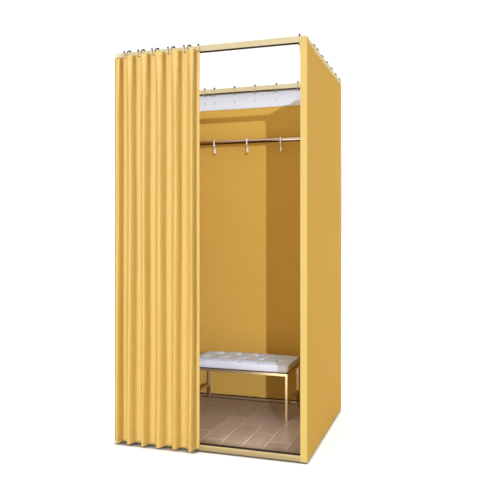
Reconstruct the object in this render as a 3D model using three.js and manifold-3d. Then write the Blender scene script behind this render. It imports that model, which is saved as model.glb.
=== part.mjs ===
// A portable fitting room: a cabin of square tubes plugged together at eight corner connectors,
// with a pleated curtain on rings across the front, flat curtains on the other three sides,
// a hanging rail with swinging hooks, a floor board and a low upholstered bench.
// Millimetres, +Z up, +X to the right seen from the front, +Y into the room.
// The origin is on the ground, at the middle of the frame's footprint.

import * as THREE from "three";
import { mergeVertices } from "three/addons/utils/BufferGeometryUtils.js";
import { RoundedBoxGeometry } from "three/addons/geometries/RoundedBoxGeometry.js";
import Module from "manifold-3d";

const wasm = await Module();
wasm.setup();

// Room, over the outer faces of the tubes
const ROOM_WIDTH = 1000;
const ROOM_DEPTH = 1000;
const ROOM_HEIGHT = 2000;

// Clearances shared by all pieces
const SEAT_GAP = 0.3;
const CUT_OVERRUN = 4;

// Square tube of the frame
const TUBE_SIDE = 30;
const TUBE_WALL = 1.5;
const TUBE_CORNER_RADIUS = 2.5;
const TUBE_CORNER_STEPS = 3;

// Plug spigots of the corner connectors
const SPIGOT_LENGTH = 55;
const SPIGOT_CLEARANCE = 0.3;
const SPIGOT_WAIST_DEPTH = 1.6;
const SPIGOT_TIP_DEPTH = 1.2;
const SPIGOT_LAND_SHARE = 0.28;
const SPIGOT_RAMP_SHARE = 0.05;
const SPIGOT_TIP_SHARE = 0.1;

// Push-in glides under the lower connectors
const GLIDE_RADIUS = 13;
const GLIDE_HEIGHT = 3.7;
const GLIDE_EDGE = 0.8;
const GLIDE_PIN_RADIUS = 3;
const GLIDE_PIN_LENGTH = 9;
const GLIDE_SIDES = 14;
const GLIDE_HOLE_SIDES = 8;

// Floor board inside the base rails, with plank joints cut in its top
const FLOOR_THICKNESS = 16;
const FLOOR_EDGE_GAP = 0.6;
const PLANK_WIDTH = 112;
const PLANK_JOINT_WIDTH = 3;
const PLANK_JOINT_DEPTH = 1;
const PLANK_JOINT_OFFSET = 26;

// Curtain rings
const RING_RADIUS = 25.25;
const RING_WIRE_RADIUS = 1.75;
const RING_STEPS = 12;
const RING_WIRE_SIDES = 5;
const RING_CLEARANCE = 0.5;
const RING_TWIST = THREE.MathUtils.degToRad(22);
const EYELET_CLEARANCE = 0.7;

// Cloth and header tape
const CLOTH_THICKNESS = 1.5;
const TAPE_THICKNESS = 0.8;
const TAPE_HEIGHT = 107;
const TAPE_END_GAP = 2;
const CLOTH_TOP_DROP = 24;
const TAPE_TOP_DROP = 25.5;
const HEM_HEIGHT = 6;
const SCALLOP_SAG = 7;

// Flat curtains: ring places as shares of the room's depth or width
const SIDE_RING_SHARES = [0.183, 0.261, 0.398, 0.534, 0.674, 0.822, 0.961];
const BACK_RING_SHARES = [0.125, 0.191, 0.328, 0.463, 0.602, 0.74, 0.877];

// Return of the flat curtain round the front posts
const RETURN_CORNER_DROP = 4;
const RETURN_CORNER_FALL = 62;
const RETURN_TAB_REACH = 5;
const RETURN_TAB_HEIGHT = 26;
const RETURN_TAB_SLOPE = 24;
const RETURN_RING_INSET = 8;

// Front curtain, drawn aside to the left
const DRAWN_WIDTH = 470;
const FRONT_TOP_DROP = 21;
const FRONT_HEM_HEIGHT = 12;
const FOLD_DEPTH_TOP = 44;
const FOLD_DEPTH_HEM = 48;
const FOLD_SQUARENESS = 1.25;
const FOLD_STEEPNESS_SHARE = 0.7;
const FOLD_SAMPLES = 8;
const FOLD_ROW_SHARES = [0, 0.3, 0.62, 0.9, 0.965, 1];
const LEAD_EDGE_SHARE = 0.05;
const HANG_POINT_SHARES = [0.014, 0.127, 0.295, 0.4615, 0.6485, 0.833, 0.982];
const RING_HALF_SPACING = 16;
const LEAD_RING_INSET = 9;

// Hanging rail across the back, and its brackets on the back posts
const HANG_RADIUS = 13.5;
const HANG_WALL = 1.5;
const HANG_SIDES = 16;
const HANG_DROP = 349;
const HANG_STANDOFF = 16.5;
const BRACKET_PLATE_WIDTH = 24;
const BRACKET_PLATE_HEIGHT = 62;
const BRACKET_PLATE_THICKNESS = 2.6;
const BRACKET_PLATE_RADIUS = 4;
const BRACKET_CUP_WALL = 2.4;
const BRACKET_CUP_END = 2.5;
const BRACKET_HOLE_RADIUS = 2.4;
const BRACKET_HOLE_INSET = 8;
const BRACKET_HOLE_SIDES = 8;

// Hooks on the hanging rail
const HOOK_WIDTH = 7;
const HOOK_THICKNESS = 2.4;
const HOOK_DROP = 70;
const HOOK_CLEARANCE = 0.5;
const HOOK_STEPS = 26;
const SLEEVE_WALL = 1.4;
const SLEEVE_WIDTH = 11;
const SLEEVE_CLEARANCE = 0.3;
const HOOK_PLACE_SHARES = [0.204, 0.422, 0.64, 0.858];
// Line of a hook below its eye: across as shares of the eye's radius, down as shares of its drop
const HOOK_LINE_SHARES = [
  [-1, 0], [-1, 0.15], [-0.9, 0.3], [-0.2, 0.47], [0.4, 0.62], [0.55, 0.78],
  [0.4, 0.94], [0, 1], [-0.4, 0.94], [-0.58, 0.8], [-0.68, 0.62],
];

// Bench: tube frame, board and cushion
const BENCH_WIDTH = 586;
const BENCH_DEPTH = 304;
const BENCH_FRAME_HEIGHT = 262;
const BENCH_TUBE = 14;
const BENCH_TUBE_RADIUS = 1.2;
const BENCH_TUBE_STEPS = 1;
const BENCH_CENTRE_X = -30;
const BENCH_CENTRE_Y = 259;
const STRETCHER_HEIGHT = 98;
const BOARD_THICKNESS = 6;
const BOARD_INSET = 2;
const BOARD_RADIUS = 8;
const CUSHION_OVERHANG = 3;
const CUSHION_EDGE_HEIGHT = 41;
const CUSHION_CROWN = 8;
const CUSHION_CORNER_RADIUS = 24;
const CUSHION_DRAW_IN = 4;
const CUSHION_BULGE = 4;
const CUSHION_ROUND = 9;
const TUFT_DEPTH = 9;
const TUFT_RADIUS = 27;
const CUSHION_COLUMNS = 24;
const CUSHION_ROWS = 12;
const TUFT_ROW_SHARES = [0.3, 0.7];
const TUFT_COLUMN_SHARES = [
  [0.12, 0.31, 0.5, 0.69, 0.88],
  [0.215, 0.405, 0.595, 0.785],
];

// Places worked out from the sizes above
const HALF_WIDTH = ROOM_WIDTH / 2;
const HALF_DEPTH = ROOM_DEPTH / 2;
const POST_X = HALF_WIDTH - TUBE_SIDE / 2;
const POST_Y = HALF_DEPTH - TUBE_SIDE / 2;
const BASE_Z = GLIDE_HEIGHT + SEAT_GAP + TUBE_SIDE / 2;
const TOP_Z = ROOM_HEIGHT - TUBE_SIDE / 2;
const TAPE_OUT = SEAT_GAP + TAPE_THICKNESS;
const CLOTH_IN = TAPE_OUT + SEAT_GAP;
const CLOTH_OUT = CLOTH_IN + CLOTH_THICKNESS;
const FRONT_CLOTH_Y = -(HALF_DEPTH + CLOTH_OUT + SEAT_GAP + CLOTH_THICKNESS / 2);
const CLOTH_TOP = ROOM_HEIGHT - CLOTH_TOP_DROP;
const TAPE_TOP = ROOM_HEIGHT - TAPE_TOP_DROP;
const FRONT_TOP = ROOM_HEIGHT - FRONT_TOP_DROP;
const HANG_Y = HALF_DEPTH - TUBE_SIDE - HANG_STANDOFF;
const HANG_Z = ROOM_HEIGHT - HANG_DROP;
const CUP_OUTER = HANG_RADIUS + SEAT_GAP + BRACKET_CUP_WALL;
const RAIL_END_X = POST_X + BRACKET_PLATE_WIDTH / 2 - BRACKET_CUP_END - SEAT_GAP;
const SLEEVE_INNER = HANG_RADIUS + SLEEVE_CLEARANCE;
const SLEEVE_OUTER = SLEEVE_INNER + SLEEVE_WALL;
const HOOK_INNER = SLEEVE_OUTER + HOOK_CLEARANCE;
const HOOK_OUTER = HOOK_INNER + HOOK_THICKNESS;
const HOOK_MIDDLE = (HOOK_INNER + HOOK_OUTER) / 2;
const BENCH_TOP_Z = FLOOR_THICKNESS + SEAT_GAP + BENCH_FRAME_HEIGHT;
const BOARD_Z = BENCH_TOP_Z + SEAT_GAP;
const CUSHION_Z = BOARD_Z + BOARD_THICKNESS + SEAT_GAP;

// Materials
const brushedGold = new THREE.MeshStandardMaterial({ color: 0xd9c48a, roughness: 0.35, metalness: 0.9 });
const cappedGold = new THREE.MeshStandardMaterial({ color: 0xd2bd85, roughness: 0.5, metalness: 0.4 });
const darkRubber = new THREE.MeshStandardMaterial({ color: 0x2b2622, roughness: 0.85, metalness: 0 });
const plankBrown = new THREE.MeshStandardMaterial({ color: 0x8a725c, roughness: 0.6, metalness: 0 });
const bronzeWire = new THREE.MeshStandardMaterial({ color: 0x5a4f45, roughness: 0.4, metalness: 0.9 });
const yellowCloth = new THREE.MeshStandardMaterial({ color: 0xe3b14f, roughness: 0.9, metalness: 0 });
const whiteTape = new THREE.MeshStandardMaterial({ color: 0xe4e6ee, roughness: 0.85, metalness: 0 });
const copperTube = new THREE.MeshStandardMaterial({ color: 0x9c7350, roughness: 0.3, metalness: 0.9 });
const creamMetal = new THREE.MeshStandardMaterial({ color: 0xf0dfb8, roughness: 0.4, metalness: 0.5 });
const brownBush = new THREE.MeshStandardMaterial({ color: 0x6b5644, roughness: 0.5, metalness: 0 });
const boardBrown = new THREE.MeshStandardMaterial({ color: 0x3c2d22, roughness: 0.7, metalness: 0 });
const greyUpholstery = new THREE.MeshStandardMaterial({ color: 0xd6d9dd, roughness: 0.7, metalness: 0 });

const room = new THREE.Group();
room.name = "portable_fitting_room";

// Closed surfaces

// Six times the signed volume: negative when the faces of a closed surface point inwards.
function signedVolume(positions, faces) {
  const a = new THREE.Vector3();
  const b = new THREE.Vector3();
  const c = new THREE.Vector3();
  let sum = 0;
  for (let face = 0; face < faces.length; face += 3) {
    a.fromArray(positions, 3 * faces[face]);
    b.fromArray(positions, 3 * faces[face + 1]);
    c.fromArray(positions, 3 * faces[face + 2]);
    sum += a.dot(b.cross(c));
  }
  return sum;
}

// Merges the corners of a geometry, drops the faces that collapse, and turns the rest outwards.
function solidOf(geometry) {
  const bare = geometry.index ? geometry.toNonIndexed() : geometry.clone();
  bare.deleteAttribute("normal");
  bare.deleteAttribute("uv");
  const merged = mergeVertices(bare);
  const positions = merged.attributes.position.array;
  const index = merged.index.array;
  const faces = [];
  for (let face = 0; face < index.length; face += 3) {
    const [a, b, c] = [index[face], index[face + 1], index[face + 2]];
    if (a !== b && b !== c && c !== a) {
      faces.push(a, b, c);
    }
  }
  if (signedVolume(positions, faces) < 0) {
    faces.reverse();
  }
  return new wasm.Manifold(new wasm.Mesh({
    numProp: 3,
    vertProperties: new Float32Array(positions),
    triVerts: new Uint32Array(faces),
  }));
}

function geometryOf(solid) {
  const mesh = solid.getMesh();
  const geometry = new THREE.BufferGeometry();
  geometry.setAttribute("position", new THREE.BufferAttribute(mesh.vertProperties, 3));
  geometry.setIndex(new THREE.BufferAttribute(mesh.triVerts, 1));
  return geometry;
}

function joined(solids) {
  return solids.reduce((whole, piece) => whole.add(piece));
}

function without(solid, cutters) {
  return cutters.reduce((rest, cutter) => rest.subtract(cutter), solid);
}

function place(name, solid, material, x = 0, y = 0, z = 0) {
  const mesh = new THREE.Mesh(geometryOf(solid), material);
  mesh.name = name;
  mesh.position.set(x, y, z);
  room.add(mesh);
  return mesh;
}

// Outline of a rectangle with round corners, about its own middle.
function roundedRectangle(width, height, radius) {
  const right = width / 2;
  const top = height / 2;
  const shape = new THREE.Shape();
  shape.moveTo(right - radius, -top);
  shape.absarc(right - radius, radius - top, radius, -Math.PI / 2, 0);
  shape.absarc(right - radius, top - radius, radius, 0, Math.PI / 2);
  shape.absarc(radius - right, top - radius, radius, Math.PI / 2, Math.PI);
  shape.absarc(radius - right, radius - top, radius, Math.PI, 1.5 * Math.PI);
  shape.closePath();
  return shape;
}

function extruded(shape, length, curveSegments = TUBE_CORNER_STEPS) {
  return new THREE.ExtrudeGeometry(shape, { depth: length, bevelEnabled: false, curveSegments });
}

// Turns an outline drawn in width and height to stand in the plane of a side, thick along X.
function standAlongY(geometry) {
  const turn = new THREE.Matrix4().makeBasis(
    new THREE.Vector3(0, 1, 0),
    new THREE.Vector3(0, 0, 1),
    new THREE.Vector3(1, 0, 0),
  );
  return geometry.applyMatrix4(turn);
}

// Turns an outline drawn in width and height to stand across the room, thick along Y.
function standAlongX(geometry) {
  return geometry.rotateX(Math.PI / 2);
}

// A stack of squares, each given by its height and side, closed at both ends.
function squareStack(sections) {
  const positions = [];
  const faces = [];
  for (const [height, side] of sections) {
    const half = side / 2;
    positions.push(-half, -half, height, half, -half, height, half, half, height, -half, half, height);
  }
  for (let level = 0; level < sections.length - 1; level += 1) {
    for (let corner = 0; corner < 4; corner += 1) {
      const a = 4 * level + corner;
      const b = 4 * level + (corner + 1) % 4;
      faces.push(a, b, b + 4, a, b + 4, a + 4);
    }
  }
  const last = 4 * (sections.length - 1);
  faces.push(0, 2, 1, 0, 3, 2, last, last + 1, last + 2, last, last + 2, last + 3);
  const geometry = new THREE.BufferGeometry();
  geometry.setAttribute("position", new THREE.Float32BufferAttribute(positions, 3));
  geometry.setIndex(faces);
  return geometry;
}

// A round tube or ring about the X axis, centred on it.
function roundSleeve(outer, inner, length, sides) {
  const half = length / 2;
  const profile = [
    new THREE.Vector2(inner, -half),
    new THREE.Vector2(outer, -half),
    new THREE.Vector2(outer, half),
    new THREE.Vector2(inner, half),
    new THREE.Vector2(inner, -half),
  ];
  return new THREE.LatheGeometry(profile, sides).rotateZ(Math.PI / 2);
}

// Frame

function frameTube(length) {
  const outline = roundedRectangle(TUBE_SIDE, TUBE_SIDE, TUBE_CORNER_RADIUS);
  const bore = TUBE_SIDE / 2 - TUBE_WALL;
  const hole = new THREE.Path();
  hole.moveTo(-bore, -bore);
  hole.lineTo(-bore, bore);
  hole.lineTo(bore, bore);
  hole.lineTo(bore, -bore);
  hole.closePath();
  outline.holes.push(hole);
  return extruded(outline, length).translate(0, 0, -length / 2);
}

function addTubes() {
  const takenByEnds = TUBE_SIDE + SEAT_GAP;
  const across = frameTube(ROOM_WIDTH - 2 * takenByEnds).rotateY(Math.PI / 2);
  const deep = frameTube(ROOM_DEPTH - 2 * takenByEnds).rotateX(Math.PI / 2);
  const upright = frameTube(TOP_Z - BASE_Z - takenByEnds - SEAT_GAP);
  for (const [level, z] of [["base", BASE_Z], ["top", TOP_Z]]) {
    place(`rail_${level}_front`, solidOf(across), brushedGold, 0, -POST_Y, z);
    place(`rail_${level}_back`, solidOf(across), brushedGold, 0, POST_Y, z);
    place(`rail_${level}_left`, solidOf(deep), brushedGold, -POST_X, 0, z);
    place(`rail_${level}_right`, solidOf(deep), brushedGold, POST_X, 0, z);
  }
  for (const [front, y] of [["front", -POST_Y], ["back", POST_Y]]) {
    for (const [side, x] of [["left", -POST_X], ["right", POST_X]]) {
      place(`post_${front}_${side}`, solidOf(upright), brushedGold, x, y, (BASE_Z + TOP_Z) / 2);
    }
  }
}

// A plug with two lands that fill the tube, a relieved waist and a lead-in at its tip.
function spigot() {
  const full = TUBE_SIDE - 2 * TUBE_WALL - 2 * SPIGOT_CLEARANCE;
  const waist = full - 2 * SPIGOT_WAIST_DEPTH;
  const root = TUBE_SIDE / 2;
  const land = SPIGOT_LAND_SHARE * SPIGOT_LENGTH;
  const ramp = SPIGOT_RAMP_SHARE * SPIGOT_LENGTH;
  const tip = SPIGOT_TIP_SHARE * SPIGOT_LENGTH;
  const end = root + SPIGOT_LENGTH;
  return squareStack([
    [0, full],
    [root + land, full],
    [root + land + ramp, waist],
    [end - tip - land - ramp, waist],
    [end - tip - land, full],
    [end - tip, full],
    [end, full - 2 * SPIGOT_TIP_DEPTH],
  ]);
}

function glideHole() {
  const radius = GLIDE_PIN_RADIUS + SEAT_GAP;
  const depth = GLIDE_PIN_LENGTH + 2 * SEAT_GAP;
  return new THREE.CylinderGeometry(radius, radius, depth + CUT_OVERRUN, GLIDE_HOLE_SIDES)
    .rotateX(Math.PI / 2)
    .translate(0, 0, (depth - CUT_OVERRUN) / 2 - TUBE_SIDE / 2);
}

// A cube at the corner with a spigot into each of its three tubes.
function cornerConnector(sideX, sideY, sideZ) {
  const cube = new RoundedBoxGeometry(TUBE_SIDE, TUBE_SIDE, TUBE_SIDE, 1, TUBE_CORNER_RADIUS);
  const pieces = [
    cube,
    spigot().rotateY(-sideX * Math.PI / 2),
    spigot().rotateX(sideY * Math.PI / 2),
    sideZ > 0 ? spigot().rotateX(Math.PI) : spigot(),
  ];
  const body = joined(pieces.map(solidOf));
  return sideZ > 0 ? body : body.subtract(solidOf(glideHole()));
}

function addConnectors() {
  for (const [level, sideZ, z] of [["base", -1, BASE_Z], ["top", 1, TOP_Z]]) {
    for (const [front, sideY] of [["front", -1], ["back", 1]]) {
      for (const [side, sideX] of [["left", -1], ["right", 1]]) {
        const connector = cornerConnector(sideX, sideY, sideZ);
        place(`corner_${level}_${front}_${side}`, connector, cappedGold, sideX * POST_X, sideY * POST_Y, z);
      }
    }
  }
}

function glide() {
  const top = GLIDE_HEIGHT + GLIDE_PIN_LENGTH;
  const profile = [
    new THREE.Vector2(0, 0),
    new THREE.Vector2(GLIDE_RADIUS - GLIDE_EDGE, 0),
    new THREE.Vector2(GLIDE_RADIUS, GLIDE_EDGE),
    new THREE.Vector2(GLIDE_RADIUS, GLIDE_HEIGHT),
    new THREE.Vector2(GLIDE_PIN_RADIUS, GLIDE_HEIGHT),
    new THREE.Vector2(GLIDE_PIN_RADIUS, top),
    new THREE.Vector2(0, top),
  ];
  return new THREE.LatheGeometry(profile, GLIDE_SIDES).rotateX(Math.PI / 2);
}

function addGlides() {
  for (const [front, y] of [["front", -POST_Y], ["back", POST_Y]]) {
    for (const [side, x] of [["left", -POST_X], ["right", POST_X]]) {
      place(`glide_${front}_${side}`, solidOf(glide()), darkRubber, x, y, 0);
    }
  }
}

// Floor board

// Section of the board across the room: flat below, with a joint between each two planks on top.
function floorSection(width) {
  const right = width / 2;
  const bottomOfJoint = FLOOR_THICKNESS - PLANK_JOINT_DEPTH;
  const shape = new THREE.Shape();
  shape.moveTo(-right, 0);
  shape.lineTo(right, 0);
  shape.lineTo(right, FLOOR_THICKNESS);
  const planksRight = Math.floor((right - PLANK_JOINT_OFFSET) / PLANK_WIDTH);
  for (let joint = planksRight * PLANK_WIDTH + PLANK_JOINT_OFFSET; joint > -right; joint -= PLANK_WIDTH) {
    if (Math.abs(joint) < right - PLANK_JOINT_WIDTH) {
      shape.lineTo(joint + PLANK_JOINT_WIDTH / 2, FLOOR_THICKNESS);
      shape.lineTo(joint, bottomOfJoint);
      shape.lineTo(joint - PLANK_JOINT_WIDTH / 2, FLOOR_THICKNESS);
    }
  }
  shape.lineTo(-right, FLOOR_THICKNESS);
  shape.closePath();
  return shape;
}

function addFloorBoard() {
  const width = ROOM_WIDTH - 2 * (TUBE_SIDE + FLOOR_EDGE_GAP);
  const depth = ROOM_DEPTH - 2 * (TUBE_SIDE + FLOOR_EDGE_GAP);
  const board = standAlongX(extruded(floorSection(width), depth)).translate(0, depth / 2, 0);
  place("floor_board", solidOf(board), plankBrown);
}

// Curtain rings

// A ring about the X axis, turned about the vertical by its twist.
function ringGeometry(wireRadius, twist) {
  return new THREE.TorusGeometry(RING_RADIUS, wireRadius, RING_WIRE_SIDES, RING_STEPS)
    .rotateY(Math.PI / 2)
    .rotateZ(twist);
}

// Height of the ring's centre when it hangs on the two upper edges of a rail.
function ringCentreZ(twist) {
  const reach = RING_RADIUS * Math.cos(Math.PI / RING_STEPS) - RING_WIRE_RADIUS - RING_CLEARANCE;
  const halfRail = TUBE_SIDE / 2 / Math.cos(twist);
  return ROOM_HEIGHT - Math.sqrt(reach * reach - halfRail * halfRail);
}

function ringAt(x, y, twist, extra = 0) {
  return solidOf(ringGeometry(RING_WIRE_RADIUS + extra, twist).translate(x, y, ringCentreZ(twist)));
}

function sideRingAt(x, y, extra = 0) {
  return solidOf(ringGeometry(RING_WIRE_RADIUS + extra, 0)
    .rotateZ(Math.PI / 2)
    .translate(x, y, ringCentreZ(0)));
}

// Flat curtains

// Elevation of a flat curtain: a straight hem, and a top edge that sags between its rings.
function flatCurtainShape(start, end, ringPlaces, cornerStart) {
  const shape = new THREE.Shape();
  shape.moveTo(start, HEM_HEIGHT);
  shape.lineTo(end, HEM_HEIGHT);
  shape.lineTo(end, CLOTH_TOP);
  let from = end;
  for (const ring of [...ringPlaces].reverse()) {
    const sag = from === end ? 0 : SCALLOP_SAG;
    shape.quadraticCurveTo((from + ring) / 2, CLOTH_TOP - 2 * sag, ring, CLOTH_TOP);
    from = ring;
  }
  if (cornerStart) {
    shape.lineTo(start + RETURN_CORNER_FALL, CLOTH_TOP);
    const cornerTop = ROOM_HEIGHT - RETURN_CORNER_DROP;
    shape.quadraticCurveTo(start + RETURN_CORNER_FALL / 2, CLOTH_TOP, start, cornerTop);
  } else {
    shape.lineTo(start, CLOTH_TOP);
  }
  shape.closePath();
  return shape;
}

// The strip that turns the front corner over the post, with a tab at the header for its ring.
function returnStrip() {
  const outer = HALF_WIDTH + CLOTH_OUT;
  const inner = HALF_WIDTH - TUBE_SIDE;
  const tab = inner - RETURN_TAB_REACH;
  const shape = new THREE.Shape();
  shape.moveTo(inner, HEM_HEIGHT);
  shape.lineTo(outer, HEM_HEIGHT);
  shape.lineTo(outer, ROOM_HEIGHT - RETURN_CORNER_DROP);
  shape.lineTo(tab, ROOM_HEIGHT - RETURN_CORNER_DROP);
  shape.lineTo(tab, CLOTH_TOP - RETURN_TAB_HEIGHT);
  shape.lineTo(inner, CLOTH_TOP - RETURN_TAB_HEIGHT - RETURN_TAB_SLOPE);
  shape.closePath();
  return standAlongX(extruded(shape, CLOTH_THICKNESS)).translate(0, -HALF_DEPTH - CLOTH_IN, 0);
}

function sideRingPlaces() {
  return SIDE_RING_SHARES.map((share) => share * ROOM_DEPTH - HALF_DEPTH);
}

function backRingPlaces() {
  return BACK_RING_SHARES.map((share) => share * ROOM_WIDTH - HALF_WIDTH);
}

// The curtain on the right side, with its return and the rings that carry it.
function rightCurtain() {
  const front = -HALF_DEPTH - CLOTH_OUT;
  const back = HALF_DEPTH + CLOTH_IN - SEAT_GAP;
  const shape = flatCurtainShape(front, back, sideRingPlaces(), true);
  const panel = standAlongY(extruded(shape, CLOTH_THICKNESS)).translate(HALF_WIDTH + CLOTH_IN, 0, 0);
  const rings = sideRingPlaces().map((y) => sideRingAt(POST_X, y));
  return joined([solidOf(panel), solidOf(returnStrip()), ...rings]);
}

function addFlatCurtains() {
  const returnRing = ringAt(HALF_WIDTH - TUBE_SIDE - RETURN_RING_INSET, -POST_Y, RING_TWIST);
  place("right_curtain", rightCurtain().add(returnRing), yellowCloth);
  place("left_curtain", rightCurtain().mirror([1, 0, 0]), yellowCloth);
  const edge = HALF_WIDTH + CLOTH_OUT;
  const shape = flatCurtainShape(-edge, edge, backRingPlaces(), false);
  const panel = standAlongX(extruded(shape, CLOTH_THICKNESS)).translate(0, HALF_DEPTH + CLOTH_OUT, 0);
  const rings = backRingPlaces().map((x) => ringAt(x, POST_Y, 0));
  place("back_curtain", joined([solidOf(panel), ...rings]), yellowCloth);
}

// White header tapes sewn inside the flat curtains, slotted where the rings pass.
function addHeaderTapes() {
  const z = TAPE_TOP - TAPE_HEIGHT / 2;
  const out = SEAT_GAP + TAPE_THICKNESS / 2;
  const deep = new THREE.BoxGeometry(TAPE_THICKNESS, ROOM_DEPTH - 2 * TAPE_END_GAP, TAPE_HEIGHT);
  const slots = sideRingPlaces().map((y) => sideRingAt(POST_X, y, EYELET_CLEARANCE));
  const rightTape = without(solidOf(deep.translate(HALF_WIDTH + out, 0, z)), slots);
  place("right_header_tape", rightTape, whiteTape);
  place("left_header_tape", rightTape.mirror([1, 0, 0]), whiteTape);
  const wide = new THREE.BoxGeometry(ROOM_WIDTH - 2 * TAPE_END_GAP, TAPE_THICKNESS, TAPE_HEIGHT);
  const backSlots = backRingPlaces().map((x) => ringAt(x, POST_Y, 0, EYELET_CLEARANCE));
  const backTape = without(solidOf(wide.translate(0, HALF_DEPTH + out, z)), backSlots);
  place("back_header_tape", backTape, whiteTape);
}

// Front curtain

function hangPoints() {
  return HANG_POINT_SHARES.map((share) => share * DRAWN_WIDTH - HALF_WIDTH);
}

// Plan of the pleated cloth at one height. The run counts hang points: it is whole where the cloth
// is drawn to the rail, and the fold stands forward in between.
function foldPoint(run, depth, hangs) {
  const last = hangs.length - 2;
  const span = Math.min(Math.max(Math.floor(run), 0), last);
  const pitch = hangs[span + 1] - hangs[span];
  const swing = FOLD_STEEPNESS_SHARE * Math.sin(4 * Math.PI * run) / (4 * Math.PI);
  const wave = Math.tanh(FOLD_SQUARENESS * Math.cos(2 * Math.PI * run)) / Math.tanh(FOLD_SQUARENESS);
  const x = hangs[span] + (run - span + swing) * pitch;
  const y = FRONT_CLOTH_Y - depth * (1 - wave) / 2;
  return new THREE.Vector2(x, y);
}

function foldLine(depth) {
  const hangs = hangPoints();
  const end = hangs.length - 1 + LEAD_EDGE_SHARE;
  const steps = (hangs.length - 1) * FOLD_SAMPLES;
  const points = [];
  for (let step = 0; step <= steps; step += 1) {
    points.push(foldPoint(end * step / steps, depth, hangs));
  }
  return points;
}

// Corners of one row of the cloth: the front face from left to right, then the back face.
function foldRow(points, z) {
  const front = [];
  const back = [];
  const half = CLOTH_THICKNESS / 2;
  points.forEach((point, step) => {
    const before = points[Math.max(step - 1, 0)];
    const after = points[Math.min(step + 1, points.length - 1)];
    const along = after.clone().sub(before).normalize();
    front.push(point.x + along.y * half, point.y - along.x * half, z);
    back.push(point.x - along.y * half, point.y + along.x * half, z);
  });
  return [...front, ...back];
}

function frontClothGeometry() {
  const positions = [];
  for (const share of FOLD_ROW_SHARES) {
    const depth = THREE.MathUtils.lerp(FOLD_DEPTH_HEM, FOLD_DEPTH_TOP, share);
    positions.push(...foldRow(foldLine(depth), THREE.MathUtils.lerp(FRONT_HEM_HEIGHT, FRONT_TOP, share)));
  }
  const count = foldLine(FOLD_DEPTH_TOP).length;
  const rowSize = 2 * count;
  const faces = [];
  const quad = (a, b, c, d) => faces.push(a, b, c, a, c, d);
  for (let row = 0; row < FOLD_ROW_SHARES.length - 1; row += 1) {
    const low = row * rowSize;
    const high = low + rowSize;
    for (let step = 0; step < count - 1; step += 1) {
      quad(low + step, low + step + 1, high + step + 1, high + step);
      quad(low + count + step + 1, low + count + step, high + count + step, high + count + step + 1);
    }
    quad(low + count, low, high, high + count);
    quad(low + count - 1, low + rowSize - 1, high + rowSize - 1, high + count - 1);
  }
  const top = (FOLD_ROW_SHARES.length - 1) * rowSize;
  for (let step = 0; step < count - 1; step += 1) {
    quad(step, count + step, count + step + 1, step + 1);
    quad(top + step, top + step + 1, top + count + step + 1, top + count + step);
  }
  const geometry = new THREE.BufferGeometry();
  geometry.setAttribute("position", new THREE.Float32BufferAttribute(positions, 3));
  geometry.setIndex(faces);
  return geometry;
}

// Two rings draw each valley to the rail, twisted towards each other, and one holds the leading edge.
function frontRingPlaces() {
  const hangs = hangPoints();
  const rings = [];
  for (const valley of hangs.slice(1, -1)) {
    rings.push([valley - RING_HALF_SPACING, RING_TWIST], [valley + RING_HALF_SPACING, -RING_TWIST]);
  }
  rings.push([hangs.at(-1) - LEAD_RING_INSET, RING_TWIST]);
  return rings;
}

function addFrontCurtain() {
  const cutters = [];
  frontRingPlaces().forEach(([x, twist], number) => {
    const label = String(number + 1).padStart(2, "0");
    place(`curtain_ring_${label}`, ringAt(x, -POST_Y, twist), bronzeWire);
    cutters.push(ringAt(x, -POST_Y, twist, EYELET_CLEARANCE));
  });
  place("front_curtain", without(solidOf(frontClothGeometry()), cutters), yellowCloth);
}

// Hanging rail and hooks

// Plate on the post's front face with two screw holes, and a cup that takes the rail's end.
function railBracket() {
  const plate = standAlongX(extruded(
    roundedRectangle(BRACKET_PLATE_WIDTH, BRACKET_PLATE_HEIGHT, BRACKET_PLATE_RADIUS),
    BRACKET_PLATE_THICKNESS,
  )).translate(0, HANG_STANDOFF - SEAT_GAP, 0);
  const cup = new THREE.CylinderGeometry(CUP_OUTER, CUP_OUTER, BRACKET_PLATE_WIDTH, HANG_SIDES)
    .rotateZ(Math.PI / 2);
  const boreRadius = HANG_RADIUS + SEAT_GAP;
  const bore = new THREE.CylinderGeometry(boreRadius, boreRadius, BRACKET_PLATE_WIDTH, HANG_SIDES)
    .rotateZ(Math.PI / 2)
    .translate(-BRACKET_CUP_END, 0, 0);
  const holes = [-1, 1].map((side) => {
    const z = side * (BRACKET_PLATE_HEIGHT / 2 - BRACKET_HOLE_INSET);
    const length = 2 * BRACKET_PLATE_THICKNESS + CUT_OVERRUN;
    return new THREE.CylinderGeometry(BRACKET_HOLE_RADIUS, BRACKET_HOLE_RADIUS, length, BRACKET_HOLE_SIDES)
      .translate(0, HANG_STANDOFF, z);
  });
  const behindPost = new THREE.BoxGeometry(2 * BRACKET_PLATE_WIDTH, 2 * CUP_OUTER, 2 * CUP_OUTER)
    .translate(0, HANG_STANDOFF - SEAT_GAP + CUP_OUTER, 0);
  return without(joined([plate, cup].map(solidOf)), [bore, ...holes, behindPost].map(solidOf));
}

function addHangingRail() {
  const rail = roundSleeve(HANG_RADIUS, HANG_RADIUS - HANG_WALL, 2 * RAIL_END_X, HANG_SIDES);
  place("hanging_rail", solidOf(rail), copperTube, 0, HANG_Y, HANG_Z);
  place("rail_bracket_right", railBracket(), brushedGold, POST_X, HANG_Y, HANG_Z);
  place("rail_bracket_left", railBracket().mirror([1, 0, 0]), brushedGold, -POST_X, HANG_Y, HANG_Z);
}

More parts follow.
